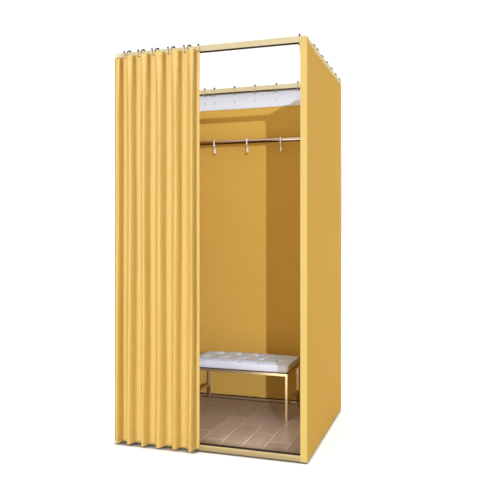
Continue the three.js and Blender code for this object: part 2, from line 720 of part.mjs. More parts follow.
// Outline of a strip that follows a line, half its thickness to each side.
function stripOutline(line, thickness) {
  const sides = [1, -1].map((side) => line.map((point, at) => {
    const before = line[Math.max(at - 1, 0)];
    const after = line[Math.min(at + 1, line.length - 1)];
    const along = after.clone().sub(before).normalize();
    return new THREE.Vector2(-along.y, along.x).multiplyScalar((side * thickness) / 2).add(point);
  }));
  return new THREE.Shape([...sides[0], ...sides[1].reverse()]);
}

// Flat strip bent to an S: an eye round the sleeve, a shank down its front that crosses to the back,
// and a loop that turns up in front.
function hookSolid() {
  const keys = HOOK_LINE_SHARES.map(([across, down]) => (
    new THREE.Vector2(across * HOOK_MIDDLE, -down * HOOK_DROP)
  ));
  const line = new THREE.SplineCurve(keys).getPoints(HOOK_STEPS);
  const bent = standAlongY(extruded(stripOutline(line, HOOK_THICKNESS), HOOK_WIDTH))
    .translate(-HOOK_WIDTH / 2, 0, 0);
  const eye = roundSleeve(HOOK_OUTER, HOOK_INNER, HOOK_WIDTH, HANG_SIDES);
  const bore = new THREE.CylinderGeometry(HOOK_INNER, HOOK_INNER, 2 * HOOK_WIDTH, HANG_SIDES)
    .rotateZ(Math.PI / 2);
  return joined([bent, eye].map(solidOf)).subtract(solidOf(bore));
}

function addHooks() {
  const sleeve = roundSleeve(SLEEVE_OUTER, SLEEVE_INNER, SLEEVE_WIDTH, HANG_SIDES);
  HOOK_PLACE_SHARES.forEach((share, number) => {
    const x = share * ROOM_WIDTH - HALF_WIDTH;
    place(`hook_sleeve_${number + 1}`, solidOf(sleeve), brownBush, x, HANG_Y, HANG_Z);
    place(`hook_${number + 1}`, hookSolid(), creamMetal, x, HANG_Y, HANG_Z);
  });
}

// Bench

function benchFrame() {
  const outer = roundedRectangle(BENCH_WIDTH, BENCH_DEPTH, BENCH_TUBE_RADIUS);
  outer.holes.push(roundedRectangle(
    BENCH_WIDTH - 2 * BENCH_TUBE,
    BENCH_DEPTH - 2 * BENCH_TUBE,
    BENCH_TUBE_RADIUS,
  ));
  const apron = extruded(outer, BENCH_TUBE, BENCH_TUBE_STEPS)
    .translate(0, 0, BENCH_FRAME_HEIGHT - BENCH_TUBE);
  const legX = (BENCH_WIDTH - BENCH_TUBE) / 2;
  const legY = (BENCH_DEPTH - BENCH_TUBE) / 2;
  const section = roundedRectangle(BENCH_TUBE, BENCH_TUBE, BENCH_TUBE_RADIUS);
  const legHeight = BENCH_FRAME_HEIGHT - BENCH_TUBE / 2;
  const pieces = [apron];
  for (const x of [-legX, legX]) {
    for (const y of [-legY, legY]) {
      pieces.push(extruded(section, legHeight, BENCH_TUBE_STEPS).translate(x, y, 0));
    }
    const reach = 2 * legY;
    pieces.push(extruded(section, reach, BENCH_TUBE_STEPS)
      .rotateX(Math.PI / 2)
      .translate(x, reach / 2, STRETCHER_HEIGHT));
  }
  return joined(pieces.map(solidOf));
}

// Plan of the cushion from a unit square: its corners are drawn in to an arc, and its sides
// pull in between them.
function roundedPlan(u, v) {
  const halfWidth = BENCH_WIDTH / 2 + CUSHION_OVERHANG;
  const halfDepth = BENCH_DEPTH / 2 + CUSHION_OVERHANG;
  const reach = Math.max(Math.abs(u), Math.abs(v));
  const straightX = reach * (halfWidth - CUSHION_CORNER_RADIUS);
  const straightY = reach * (halfDepth - CUSHION_CORNER_RADIUS);
  let x = Math.abs(u) * halfWidth;
  let y = Math.abs(v) * halfDepth;
  const overX = x - straightX;
  const overY = y - straightY;
  if (overX > 0 && overY > 0) {
    const pull = Math.max(overX, overY) / Math.hypot(overX, overY);
    x = straightX + overX * pull;
    y = straightY + overY * pull;
  }
  x -= CUSHION_DRAW_IN * (1 - v * v) * Math.abs(u) ** 3;
  y -= CUSHION_DRAW_IN * (1 - u * u) * Math.abs(v) ** 3;
  return new THREE.Vector2(Math.sign(u) * x, Math.sign(v) * y);
}

function tuftPlaces() {
  const places = [];
  TUFT_ROW_SHARES.forEach((rowShare, row) => {
    for (const columnShare of TUFT_COLUMN_SHARES[row]) {
      places.push(new THREE.Vector2((columnShare - 1 / 2) * BENCH_WIDTH, (rowShare - 1 / 2) * BENCH_DEPTH));
    }
  });
  return places;
}

// Height of the crowned and tufted top over the cushion's underside.
function cushionTop(point, u, v, tufts) {
  const crown = CUSHION_CROWN * (1 - u ** 4) * (1 - v ** 4);
  let dip = 0;
  for (const tuft of tufts) {
    dip += TUFT_DEPTH * Math.exp(-((point.distanceTo(tuft) / TUFT_RADIUS) ** 2));
  }
  return CUSHION_EDGE_HEIGHT + crown - dip;
}

function cushionGeometry() {
  const tufts = tuftPlaces();
  const positions = [];
  const faces = [];
  const quad = (a, b, c, d) => faces.push(a, b, c, a, c, d);
  const at = (column, row) => row * (CUSHION_COLUMNS + 1) + column;
  for (let row = 0; row <= CUSHION_ROWS; row += 1) {
    for (let column = 0; column <= CUSHION_COLUMNS; column += 1) {
      const u = 2 * column / CUSHION_COLUMNS - 1;
      const v = 2 * row / CUSHION_ROWS - 1;
      const point = roundedPlan(u, v);
      positions.push(point.x, point.y, cushionTop(point, u, v, tufts));
      if (column < CUSHION_COLUMNS && row < CUSHION_ROWS) {
        quad(at(column, row), at(column + 1, row), at(column + 1, row + 1), at(column, row + 1));
      }
    }
  }
  const rim = [];
  for (let column = 0; column < CUSHION_COLUMNS; column += 1) rim.push(at(column, 0));
  for (let row = 0; row < CUSHION_ROWS; row += 1) rim.push(at(CUSHION_COLUMNS, row));
  for (let column = CUSHION_COLUMNS; column > 0; column -= 1) rim.push(at(column, CUSHION_ROWS));
  for (let row = CUSHION_ROWS; row > 0; row -= 1) rim.push(at(0, row));
  const walls = [
    [CUSHION_EDGE_HEIGHT - CUSHION_ROUND, CUSHION_BULGE],
    [CUSHION_ROUND, CUSHION_BULGE],
    [0, 0],
  ];
  let upper = rim;
  for (const [height, bulge] of walls) {
    const start = positions.length / 3;
    const lower = rim.map((corner, step) => {
      const x = positions[3 * corner] * (1 + 2 * bulge / BENCH_WIDTH);
      const y = positions[3 * corner + 1] * (1 + 2 * bulge / BENCH_DEPTH);
      positions.push(x, y, height);
      return start + step;
    });
    upper.forEach((corner, step) => {
      const next = (step + 1) % rim.length;
      quad(lower[step], lower[next], upper[next], corner);
    });
    upper = lower;
  }
  const middle = positions.length / 3;
  positions.push(0, 0, 0);
  upper.forEach((corner, step) => faces.push(upper[(step + 1) % rim.length], corner, middle));
  const geometry = new THREE.BufferGeometry();
  geometry.setAttribute("position", new THREE.Float32BufferAttribute(positions, 3));
  geometry.setIndex(faces);
  return geometry;
}

function addBench() {
  const frameZ = FLOOR_THICKNESS + SEAT_GAP;
  place("bench_frame", benchFrame(), brushedGold, BENCH_CENTRE_X, BENCH_CENTRE_Y, frameZ);
  const board = extruded(roundedRectangle(
    BENCH_WIDTH - 2 * BOARD_INSET,
    BENCH_DEPTH - 2 * BOARD_INSET,
    BOARD_RADIUS,
  ), BOARD_THICKNESS);
  place("bench_board", solidOf(board), boardBrown, BENCH_CENTRE_X, BENCH_CENTRE_Y, BOARD_Z);
  const cushion = solidOf(cushionGeometry());
  place("bench_cushion", cushion, greyUpholstery, BENCH_CENTRE_X, BENCH_CENTRE_Y, CUSHION_Z);
}

addTubes();
addConnectors();
addGlides();
addFloorBoard();
addFlatCurtains();
addHeaderTapes();
addFrontCurtain();
addHangingRail();
addHooks();
addBench();

export default room;
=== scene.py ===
"""A portable fitting room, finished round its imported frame.

Metres, +Z up, +X to the right seen from the open front, +Y into the cabin.
"""

import math
import random

import bpy
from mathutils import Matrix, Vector
from mathutils.kdtree import KDTree


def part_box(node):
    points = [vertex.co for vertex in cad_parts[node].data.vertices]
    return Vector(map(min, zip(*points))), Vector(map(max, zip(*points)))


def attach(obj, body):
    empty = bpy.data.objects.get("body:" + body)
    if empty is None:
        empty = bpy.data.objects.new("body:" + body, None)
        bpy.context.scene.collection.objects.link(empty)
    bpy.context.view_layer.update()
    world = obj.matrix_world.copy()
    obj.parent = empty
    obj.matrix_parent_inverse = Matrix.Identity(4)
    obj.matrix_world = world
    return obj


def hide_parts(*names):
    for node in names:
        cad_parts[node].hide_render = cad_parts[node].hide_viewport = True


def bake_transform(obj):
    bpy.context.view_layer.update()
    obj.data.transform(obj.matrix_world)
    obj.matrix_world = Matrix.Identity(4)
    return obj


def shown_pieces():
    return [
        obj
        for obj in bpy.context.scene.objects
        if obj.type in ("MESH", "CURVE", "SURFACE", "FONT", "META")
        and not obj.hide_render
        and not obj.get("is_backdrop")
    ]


bl_info = {
    "name": "Portable Fitting Room",
    "version": (1, 0, 0),
    "blender": (4, 5, 0),
    "location": "View3D > Sidebar > Fitting Room",
    "description": "Finishes a ring-curtain fitting room: cloth, rings, tubes, floor and bench",
    "category": "Object",
}

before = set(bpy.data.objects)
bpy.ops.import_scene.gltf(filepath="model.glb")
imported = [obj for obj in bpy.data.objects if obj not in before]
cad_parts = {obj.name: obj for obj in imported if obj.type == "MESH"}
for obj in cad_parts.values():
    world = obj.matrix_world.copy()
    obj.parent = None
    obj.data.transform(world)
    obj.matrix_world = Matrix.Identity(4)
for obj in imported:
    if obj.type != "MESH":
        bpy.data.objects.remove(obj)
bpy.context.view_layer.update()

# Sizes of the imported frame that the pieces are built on
TUBE = 0.030
HALF_ROOM = 0.500
TUBE_LINE = HALF_ROOM - TUBE / 2
RAIL_ENDS = HALF_ROOM - TUBE

# Layers outside the tubes: header tape, then cloth
TAPE_FACE = HALF_ROOM + 0.0003
TAPE_THICK = 0.0008
CLOTH_MIDDLE = HALF_ROOM + 0.00215
CLOTH_THICK = 0.0012
CLOTH_TOP = 1.976
TAPE_TOP = 1.9745
TAPE_HEIGHT = 0.107
SIDE_HEM = 0.006
FLAT_HEIGHT = CLOTH_TOP - SIDE_HEM
TOP_SAG = 0.007
BACK_EDGE = HALF_ROOM + 0.0026

# Ring places along the rails
SIDE_RINGS = [-0.317, -0.239, -0.102, 0.034, 0.174, 0.322, 0.461]
BACK_RINGS = [-0.375, -0.309, -0.172, -0.037, 0.102, 0.240, 0.377]
RETURN_RING = 0.462
RING_TWIST = math.radians(22)
FLAT_RING_HEIGHT = 1.9837
TWISTED_RING_HEIGHT = 1.9849

# Columns of a flat curtain: their step, and the finer one near a ring
COLUMN_STEP = 0.03
NEAR_RING, FINE_STEP = 0.027, 0.0021

# Front curtain as drawn aside
HANG_SHARES = [0.014, 0.127, 0.295, 0.4615, 0.6485, 0.833, 0.982]
DRAWN_WIDTH = 0.470
FRONT_CLOTH = -0.50395
FRONT_HEM = 0.012
FRONT_TOP = 1.979
LEAD_EDGE = 0.05
# The front curtain's cloth is toned darker than the same cloth elsewhere, as painted shade against
# the stronger light on its pleats
FRONT_TONE = 0.93
FIRST_CREST, CREST_SHIFT, LAST_CREST = 0.006, 0.0065, 0.014

# Hanging rail
HANG_LINE = Vector((0.0, 0.4535, 1.651))
HANG_RADIUS = 0.0135
HANG_END = 0.4942
HOOK_COUNT = 4

# Sides of the room as a name and a sign
BOTH_SIDES = (("left", -1), ("right", 1))

# Rows of stitches: the second one under the hem's first, and those below a top edge
HEM_SECOND_ROW = 0.018
TOP_ROW = 0.030
FRONT_TOP_ROWS = (0.022, 0.034)
TAPE_ROW = 0.004

# Finish of the coated tubes, and the directions in which a metal's lines are drawn out
TUBE_ROUGHNESS = 0.36
NO_STRETCH = (1.0, 1.0, 1.0)
ALONG_X = (0.04, 1.0, 1.0)
ALONG_Z = (1.0, 1.0, 0.1)

# Outline of the painted shadow on the studio floor: the room's foot, further out under the pleats
FOOT_MIDDLE, FOOT_HALF, FOOT_BACK = 0.006, 0.492, 0.488
FOOT_FRONT, PLEATS_FRONT = -0.502, -0.529
PLEATS_RIGHT = (-0.045, -0.030)
FOOT_RAMP = 0.016

# Share of the key light that falls on the outer side of the side curtains
SIDE_SHARE = 0.40


# Sizes and colours that a user would change

class ClothSettings(bpy.types.PropertyGroup):
    yellow: bpy.props.FloatVectorProperty(
        name="Yellow", description="Colour of the curtain cloth in the light", subtype="COLOR",
        size=3, min=0, max=1, default=(0.632, 0.364, 0.064))
    yellow_deep: bpy.props.FloatVectorProperty(
        name="Deep yellow", description="Colour the cloth drifts to", subtype="COLOR",
        size=3, min=0, max=1, default=(0.614, 0.348, 0.057))
    tape: bpy.props.FloatVectorProperty(
        name="Tape", description="Colour of the header tape", subtype="COLOR",
        size=3, min=0, max=1, default=(0.77, 0.765, 0.70))
    thread: bpy.props.FloatProperty(
        name="Thread", description="Width of one thread of the cloth", unit="LENGTH",
        min=0.0002, max=0.005, default=0.0009)
    depth_top: bpy.props.FloatProperty(
        name="Fold depth at the top", description="How far the pleats stand out at the rings",
        unit="LENGTH", min=0, max=0.1, default=0.046)
    depth_hem: bpy.props.FloatProperty(
        name="Fold depth at the hem", description="How far the pleats stand out at the hem",
        unit="LENGTH", min=0, max=0.1, default=0.050)
    hem: bpy.props.FloatProperty(
        name="Hem", description="Height of the turned-up hem", unit="LENGTH",
        min=0.01, max=0.2, default=0.060)


class MetalSettings(bpy.types.PropertyGroup):
    gold: bpy.props.FloatVectorProperty(
        name="Gold", description="Colour of the frame tubes", subtype="COLOR",
        size=3, min=0, max=1, default=(0.72, 0.60, 0.34))
    champagne: bpy.props.FloatVectorProperty(
        name="Champagne", description="Colour of the bench frame", subtype="COLOR",
        size=3, min=0, max=1, default=(0.69, 0.515, 0.30))
    copper: bpy.props.FloatVectorProperty(
        name="Copper", description="Colour of the hanging rail", subtype="COLOR",
        size=3, min=0, max=1, default=(0.62, 0.45, 0.32))
    bronze: bpy.props.FloatVectorProperty(
        name="Bronze", description="Colour of the curtain rings", subtype="COLOR",
        size=3, min=0, max=1, default=(0.028, 0.020, 0.013))
    ring_radius: bpy.props.FloatProperty(
        name="Ring radius", description="Radius of a curtain ring at the middle of its wire",
        unit="LENGTH", min=0.01, max=0.05, default=0.0240)
    ring_wire: bpy.props.FloatProperty(
        name="Ring wire", description="Radius of the ring's wire", unit="LENGTH",
        min=0.0005, max=0.004, default=0.0027)


class FloorSettings(bpy.types.PropertyGroup):
    plank: bpy.props.FloatVectorProperty(
        name="Plank", description="Colour of the floor planks", subtype="COLOR",
        size=3, min=0, max=1, default=(0.432, 0.332, 0.262))
    joint: bpy.props.FloatVectorProperty(
        name="Joint", description="Colour of the joints between planks", subtype="COLOR",
        size=3, min=0, max=1, default=(0.55, 0.465, 0.365))
    width: bpy.props.FloatProperty(
        name="Plank width", description="Width of a plank with its joint", unit="LENGTH",
        min=0.02, max=0.5, default=0.112)
    length: bpy.props.FloatProperty(
        name="Plank length", description="Length of a plank with its joint", unit="LENGTH",
        min=0.05, max=2, default=0.430)
    gap: bpy.props.FloatProperty(
        name="Joint width", description="Width of a joint", unit="LENGTH",
        min=0.0005, max=0.01, default=0.0065)


class BenchSettings(bpy.types.PropertyGroup):
    leather: bpy.props.FloatVectorProperty(
        name="Leather", description="Colour of the cushion's cover", subtype="COLOR",
        size=3, min=0, max=1, default=(0.615, 0.605, 0.60))
    # The cover's sitting side, painted bluer to offset the warm light bounced onto it from the
    # yellow curtains
    leather_top: bpy.props.FloatVectorProperty(
        name="Leather top", description="Colour of the cover on the sitting side", subtype="COLOR",
        size=3, min=0, max=1, default=(0.64, 0.76, 0.88))
    board: bpy.props.FloatVectorProperty(
        name="Board", description="Colour of the board under the cushion", subtype="COLOR",
        size=3, min=0, max=1, default=(0.045, 0.028, 0.018))
    tuft_depth: bpy.props.FloatProperty(
        name="Tuft depth", description="How far a button pulls the cover in", unit="LENGTH",
        min=0, max=0.03, default=0.013)
    piping: bpy.props.FloatProperty(
        name="Piping", description="Radius of the piped seam", unit="LENGTH",
        min=0.0005, max=0.005, default=0.0018)


class StudioSettings(bpy.types.PropertyGroup):
    floor: bpy.props.FloatVectorProperty(
        name="Floor", description="Colour of the studio floor", subtype="COLOR",
        size=3, min=0, max=1, default=(0.97, 0.97, 0.97))
    sky: bpy.props.FloatProperty(
        name="Sky", description="Strength of the even light from all round",
        min=0, max=5, default=0.93)
    key: bpy.props.FloatProperty(
        name="Key", description="Strength of the key light", min=0, max=20, default=2.5)
    pleat_key: bpy.props.FloatProperty(
        name="Pleat key", description="Strength of the light across the pleats",
        min=0, max=20, default=5.6)
    pleat_turn: bpy.props.FloatProperty(
        name="Pleat turn",
        description="How far to the right of the front the light across the pleats stands",
        subtype="ANGLE", min=-math.pi, max=math.pi, default=math.radians(-1))
    strip_key: bpy.props.FloatProperty(
        name="Strip key", description="Strength of the light on the turned front strips",
        min=0, max=20, default=3.7)
    inner: bpy.props.FloatProperty(
        name="Inner light", description="Power of the soft light that enters the opening",
        min=0, max=50, default=2.7)
    key_turn: bpy.props.FloatProperty(
        name="Key turn", description="How far to the right of the front the key light stands",
        subtype="ANGLE", min=-math.pi, max=math.pi, default=math.radians(23.6))
    key_rise: bpy.props.FloatProperty(
        name="Key rise", description="How high the key light stands",
        subtype="ANGLE", min=0, max=math.pi / 2, default=math.radians(9.65))


class RoomSettings(bpy.types.PropertyGroup):
    cloth: bpy.props.PointerProperty(type=ClothSettings)
    metal: bpy.props.PointerProperty(type=MetalSettings)
    floor: bpy.props.PointerProperty(type=FloorSettings)
    bench: bpy.props.PointerProperty(type=BenchSettings)
    studio: bpy.props.PointerProperty(type=StudioSettings)


def settings():
    return bpy.context.scene.fitting_room


# Handling of objects

def clear_selection():
    if bpy.context.object and bpy.context.object.mode != "OBJECT":
        bpy.ops.object.mode_set(mode="OBJECT")
    bpy.ops.object.select_all(action="DESELECT")


def pick(*objects):
    clear_selection()
    for obj in objects:
        obj.select_set(True)
    bpy.context.view_layer.objects.active = objects[0]
    return objects[0]


def settle(obj, name, material):
    """Puts the place into the mesh, and gives the piece its name and material."""
    pick(obj)
    bpy.ops.object.transform_apply(location=True, rotation=True, scale=True)
    obj.name = name
    obj.data.name = name
    obj.data.materials.clear()
    obj.data.materials.append(material)
    return obj


def carried(obj, body, slot, *nodes):
    """The piece rides on a body and stands for its nodes; its slot is not used."""
    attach(obj, body)
    if nodes:
        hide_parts(*nodes)
    return obj


def apply_modifier(obj, kind, **values):
    pick(obj)
    modifier = obj.modifiers.new(kind.title(), kind)
    for key, value in values.items():
        setattr(modifier, key, value)
    bpy.ops.object.modifier_apply(modifier=modifier.name)
    return obj


def smooth(obj, degrees=35):
    pick(obj)
    bpy.ops.object.shade_smooth_by_angle(angle=math.radians(degrees))
    return obj


def weighted(obj):
    return apply_modifier(obj, "WEIGHTED_NORMAL", keep_sharp=True, weight=80)


def joined(objects):
    pick(*objects)
    bpy.ops.object.join()
    return objects[0]


def copy_of(obj, name):
    """A copy with its own mesh."""
    copy = obj.copy()
    copy.data = obj.data.copy()
    copy.name = name
    copy.data.name = name
    bpy.context.scene.collection.objects.link(copy)
    return copy


def face_out(obj):
    """Turns the faces of a closed mesh outwards."""
    pick(obj)
    bpy.ops.object.mode_set(mode="EDIT")
    bpy.ops.mesh.select_all(action="SELECT")
    bpy.ops.mesh.normals_make_consistent(inside=False)
    bpy.ops.object.mode_set(mode="OBJECT")


def merged_copy(node, name, bevel=0.0, degrees=35):
    """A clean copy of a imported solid, with whole faces and softened edges."""
    obj = bpy.data.objects.new(name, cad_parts[node].data.copy())
    obj.data.name = name
    obj.data.materials.clear()
    bpy.context.scene.collection.objects.link(obj)
    pick(obj)
    bpy.ops.object.mode_set(mode="EDIT")
    bpy.ops.mesh.select_all(action="SELECT")
    bpy.ops.mesh.remove_doubles(threshold=0.000005)
    bpy.ops.mesh.dissolve_limited(angle_limit=math.radians(0.5))
    bpy.ops.mesh.normals_make_consistent(inside=False)
    bpy.ops.object.mode_set(mode="OBJECT")
    if bevel:
        apply_modifier(obj, "BEVEL", width=bevel, segments=2, limit_method="ANGLE",
                       angle_limit=math.radians(50), use_clamp_overlap=True)
    smooth(obj, degrees)
    return weighted(obj)


def finished(node, name, look, body, slot, bevel=0.0, degrees=50):
    """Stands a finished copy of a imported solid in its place."""
    obj = merged_copy(node, name, bevel, degrees)
    obj.data.materials.append(material(look))
    return carried(obj, body, slot, node)


def mesh_object(name, points, faces, tags=None):
    """A mesh from points and faces, with cloth places as its UV map where they are given."""
    mesh = bpy.data.meshes.new(name)
    mesh.from_pydata(points, [], faces)
    if tags:
        layer = mesh.uv_layers.new(name="ClothPlace")
        for loop in mesh.loops:
            layer.data[loop.index].uv = tags[loop.vertex_index]
    mesh.update()
    obj = bpy.data.objects.new(name, mesh)
    bpy.context.scene.collection.objects.link(obj)
    return obj


def box_piece(low, high, bevel=0.0, segments=2):
    """A block between two corners, with its edges rounded."""
    clear_selection()
    low, high = Vector(low), Vector(high)
    bpy.ops.mesh.primitive_cube_add(size=1, location=(low + high) / 2)
    obj = bpy.context.object
    obj.scale = high - low
    bpy.ops.object.transform_apply(location=True, rotation=True, scale=True)
    if bevel:
        bpy.ops.object.mode_set(mode="EDIT")
        bpy.ops.mesh.select_all(action="SELECT")
        bpy.ops.mesh.bevel(offset=bevel, segments=segments, affect="EDGES")
        bpy.ops.object.mode_set(mode="OBJECT")
    return obj


def round_bar(radius, start, end, sides=32, bevel=0.0):
    """A round bar from one point to another, with softened ends."""
    clear_selection()
    start, end = Vector(start), Vector(end)
    run = end - start
    turn = run.to_track_quat("Z", "Y").to_euler()
    bpy.ops.mesh.primitive_cylinder_add(
        vertices=sides, radius=radius, depth=run.length, location=(start + end) / 2, rotation=turn)
    obj = bpy.context.object
    if bevel:
        apply_modifier(obj, "BEVEL", width=bevel, segments=2, limit_method="ANGLE",
                       angle_limit=math.radians(50))
    return obj


# Shader wiring

def wire(tree, value, socket):
    if isinstance(value, bpy.types.NodeSocket):
        tree.links.new(value, socket)
    elif value is not None:
        socket.default_value = value


def maths(tree, operation, *values):
    node = tree.nodes.new("ShaderNodeMath")
    node.operation = operation
    for value, socket in zip(values, node.inputs):
        wire(tree, value, socket)
    return node.outputs[0]


def split(tree, vector):
    """The three parts of a vector."""
    node = tree.nodes.new("ShaderNodeSeparateXYZ")
    wire(tree, vector, node.inputs[0])
    return node.outputs


def grey(tree, value):
    node = tree.nodes.new("ShaderNodeCombineColor")
    for socket in node.inputs:
        wire(tree, value, socket)
    return node.outputs[0]


def blend_colour(tree, factor, first, second, kind="MIX"):
    node = tree.nodes.new("ShaderNodeMix")
    node.data_type = "RGBA"
    node.blend_type = kind
    wire(tree, factor, node.inputs[0])
    wire(tree, first, node.inputs[6])
    wire(tree, second, node.inputs[7])
    return node.outputs[2]


def noise(tree, vector, scale, detail=3.0, roughness=0.5):
    node = tree.nodes.new("ShaderNodeTexNoise")
    wire(tree, vector, node.inputs["Vector"])
    wire(tree, scale, node.inputs["Scale"])
    node.inputs["Detail"].default_value = detail
    node.inputs["Roughness"].default_value = roughness
    return node.outputs["Fac"]


def stretched(tree, vector, scale):
    node = tree.nodes.new("ShaderNodeMapping")
    wire(tree, vector, node.inputs["Vector"])
    node.inputs["Scale"].default_value = scale
    return node.outputs["Vector"]


def spread(tree, value, low, high, out_low=0.0, out_high=1.0):
    node = tree.nodes.new("ShaderNodeMapRange")
    wire(tree, value, node.inputs["Value"])
    node.inputs["From Min"].default_value = low
    node.inputs["From Max"].default_value = high
    node.inputs["To Min"].default_value = out_low
    node.inputs["To Max"].default_value = out_high
    return node.outputs["Result"]


def bumped(tree, height, distance, strength=1.0, normal=None):
    node = tree.nodes.new("ShaderNodeBump")
    wire(tree, height, node.inputs["Height"])
    node.inputs["Distance"].default_value = distance
    node.inputs["Strength"].default_value = strength
    wire(tree, normal, node.inputs["Normal"])
    return node.outputs["Normal"]


def shared_group(name, inputs, outputs):
    """An empty node group with named sockets, and its two ends."""
    group = bpy.data.node_groups.new(name, "ShaderNodeTree")
    for label, kind, value in inputs:
        socket = group.interface.new_socket(label, in_out="INPUT", socket_type=kind)
        if value is not None:
            socket.default_value = value
    for label, kind in outputs:
        group.interface.new_socket(label, in_out="OUTPUT", socket_type=kind)
    given = group.nodes.new("NodeGroupInput").outputs
    out = group.nodes.new("NodeGroupOutput").inputs
    return group, given, out


def weave_group():
    """Plain weave: threads over and under each other, in metres of cloth."""
    group, given, out = shared_group(
        "Weave",
        [("Place", "NodeSocketVector", None), ("Thread", "NodeSocketFloat", 0.001)],
        [("Height", "NodeSocketFloat"), ("Shade", "NodeSocketFloat")])
    x, y, _ = split(group, given["Place"])
    across, up = (maths(group, "DIVIDE", run, given["Thread"]) for run in (x, y))
    turn = maths(group, "FLOORED_MODULO",
                 maths(group, "ADD", maths(group, "FLOOR", across), maths(group, "FLOOR", up)), 2.0)
    warp, weft = (
        maths(group, "ABSOLUTE", maths(group, "SINE", maths(group, "MULTIPLY", run, math.pi)))
        for run in (across, up))
    over = maths(group, "MULTIPLY", warp, turn)
    under = maths(group, "MULTIPLY", weft, maths(group, "SUBTRACT", 1.0, turn))
    height = maths(group, "ADD", over, under)
    wire(group, height, out["Height"])
    slub = noise(group, stretched(group, given["Place"], (900, 18, 1)), 1.0, 2.0)
    # Painted highlight: brighter where a thread rides over, darker where it passes under; the
    # slub's tone is the cloth's own
    raised = maths(group, "ADD", 0.7, maths(group, "MULTIPLY", height, 0.3))
    wire(group, maths(group, "MULTIPLY", slub, raised), out["Shade"])
    return group


def drift_group():
    """Slow change between two colours over the surface."""
    group, given, out = shared_group(
        "Colour drift",
        [("Place", "NodeSocketVector", None), ("Size", "NodeSocketFloat", 4.0),
         ("First", "NodeSocketColor", (1, 1, 1, 1)), ("Second", "NodeSocketColor", (0, 0, 0, 1))],
        [("Colour", "NodeSocketColor"), ("Share", "NodeSocketFloat")])
    share = spread(group, noise(group, given["Place"], given["Size"], 4.0), 0.3, 0.7)
    wire(group, blend_colour(group, share, given["First"], given["Second"]), out["Colour"])
    wire(group, share, out["Share"])
    return group


def stitch_group():
    """One row of stitches along the cloth, at a height in metres."""
    group, given, out = shared_group(
        "Stitch row",
        [("Place", "NodeSocketVector", None), ("Row", "NodeSocketFloat", 0.05),
         ("Pitch", "NodeSocketFloat", 0.006), ("Width", "NodeSocketFloat", 0.0012)],
        [("Mask", "NodeSocketFloat"), ("Groove", "NodeSocketFloat")])
    stitch_share = 0.62
    x, y, _ = split(group, given["Place"])
    away = maths(group, "ABSOLUTE", maths(group, "SUBTRACT", y, given["Row"]))
    near = maths(group, "LESS_THAN", away, maths(group, "MULTIPLY", given["Width"], 0.5))
    run = maths(group, "FRACT", maths(group, "DIVIDE", x, given["Pitch"]))
    stitched = maths(group, "LESS_THAN", run, stitch_share)
    wire(group, maths(group, "MULTIPLY", near, stitched), out["Mask"])
    groove = maths(group, "MULTIPLY", given["Width"], 2.0)
    closeness = maths(group, "SUBTRACT", 1.0, maths(group, "DIVIDE", away, groove))
    wire(group, maths(group, "MAXIMUM", closeness, 0.0), out["Groove"])
    return group


def wear_group():
    """Where edges are rubbed bright and corners hold dust."""
    group, given, out = shared_group(
        "Edge rub",
        [("Place", "NodeSocketVector", None), ("Size", "NodeSocketFloat", 60.0)],
        [("Rub", "NodeSocketFloat"), ("Dust", "NodeSocketFloat")])
    point = group.nodes.new("ShaderNodeNewGeometry").outputs["Pointiness"]
    patchy = noise(group, given["Place"], given["Size"], 5.0, 0.6)
    for socket, sharp, patches in (
            ("Rub", (0.52, 0.60), (0.4, 0.65)), ("Dust", (0.49, 0.44), (0.35, 0.6))):
        edges, patched = spread(group, point, *sharp), spread(group, patchy, *patches)
        wire(group, maths(group, "MULTIPLY", edges, patched), out[socket])
    return group


def grain_group():
    """Fine lines along one direction, for brushed metal and for wood."""
    group, given, out = shared_group(
        "Line grain",
        [("Place", "NodeSocketVector", None), ("Fineness", "NodeSocketFloat", 1.0)],
        [("Grain", "NodeSocketFloat"), ("Streak", "NodeSocketFloat")])
    wire(group, noise(group, given["Place"], given["Fineness"], 4.0, 0.6), out["Grain"])
    slow = maths(group, "MULTIPLY", given["Fineness"], 0.17)
    wire(group, noise(group, given["Place"], slow, 2.0, 0.5), out["Streak"])
    return group


def leather_group():
    """Pebbled grain of a coated cover."""
    group, given, out = shared_group(
        "Pebble grain",
        [("Place", "NodeSocketVector", None), ("Size", "NodeSocketFloat", 700.0)],
        [("Height", "NodeSocketFloat")])
    cells = group.nodes.new("ShaderNodeTexVoronoi")
    cells.feature = "DISTANCE_TO_EDGE"
    wire(group, given["Place"], cells.inputs["Vector"])
    wire(group, given["Size"], cells.inputs["Scale"])
    soft = noise(group, given["Place"], maths(group, "MULTIPLY", given["Size"], 0.35), 3.0)
    raised = spread(group, cells.outputs["Distance"], 0.0, 0.25)
    height = maths(group, "ADD", maths(group, "MULTIPLY", raised, 0.7),
                   maths(group, "MULTIPLY", soft, 0.3))
    wire(group, height, out["Height"])
    return group


GROUPS = {
    "Weave": weave_group, "Colour drift": drift_group, "Stitch row": stitch_group,
    "Edge rub": wear_group, "Line grain": grain_group, "Pebble grain": leather_group,
}


def place_group(tree, name, **values):
    node = tree.nodes.new("ShaderNodeGroup")
    node.node_tree = bpy.data.node_groups.get(name) or GROUPS[name]()
    for key, value in values.items():
        wire(tree, value, node.inputs[key.replace("_", " ")])
    return node.outputs


def rgba(colour, factor=1.0):
    return (*[min(1.0, c * factor) for c in colour], 1.0)


def toned(colour, *factors):
    """A colour times one factor, or times a factor for each of its parts."""
    return tuple(c * factor for c, factor in zip(colour, factors * (3 // len(factors))))


def new_material(name, **constants):
    """A material with its Principled shader, the constants set on the shader itself."""
    material = bpy.data.materials.new(name)
    material.use_nodes = True
    tree = material.node_tree
    shader = tree.nodes["Principled BSDF"]
    for key, value in constants.items():
        shader.inputs[key.replace("_", " ")].default_value = value
    return material, tree, shader


def object_place(tree):
    return tree.nodes.new("ShaderNodeTexCoord").outputs["Object"]


def cloth_place(tree):
    node = tree.nodes.new("ShaderNodeUVMap")
    node.uv_map = "ClothPlace"
    return node.outputs["UV"]


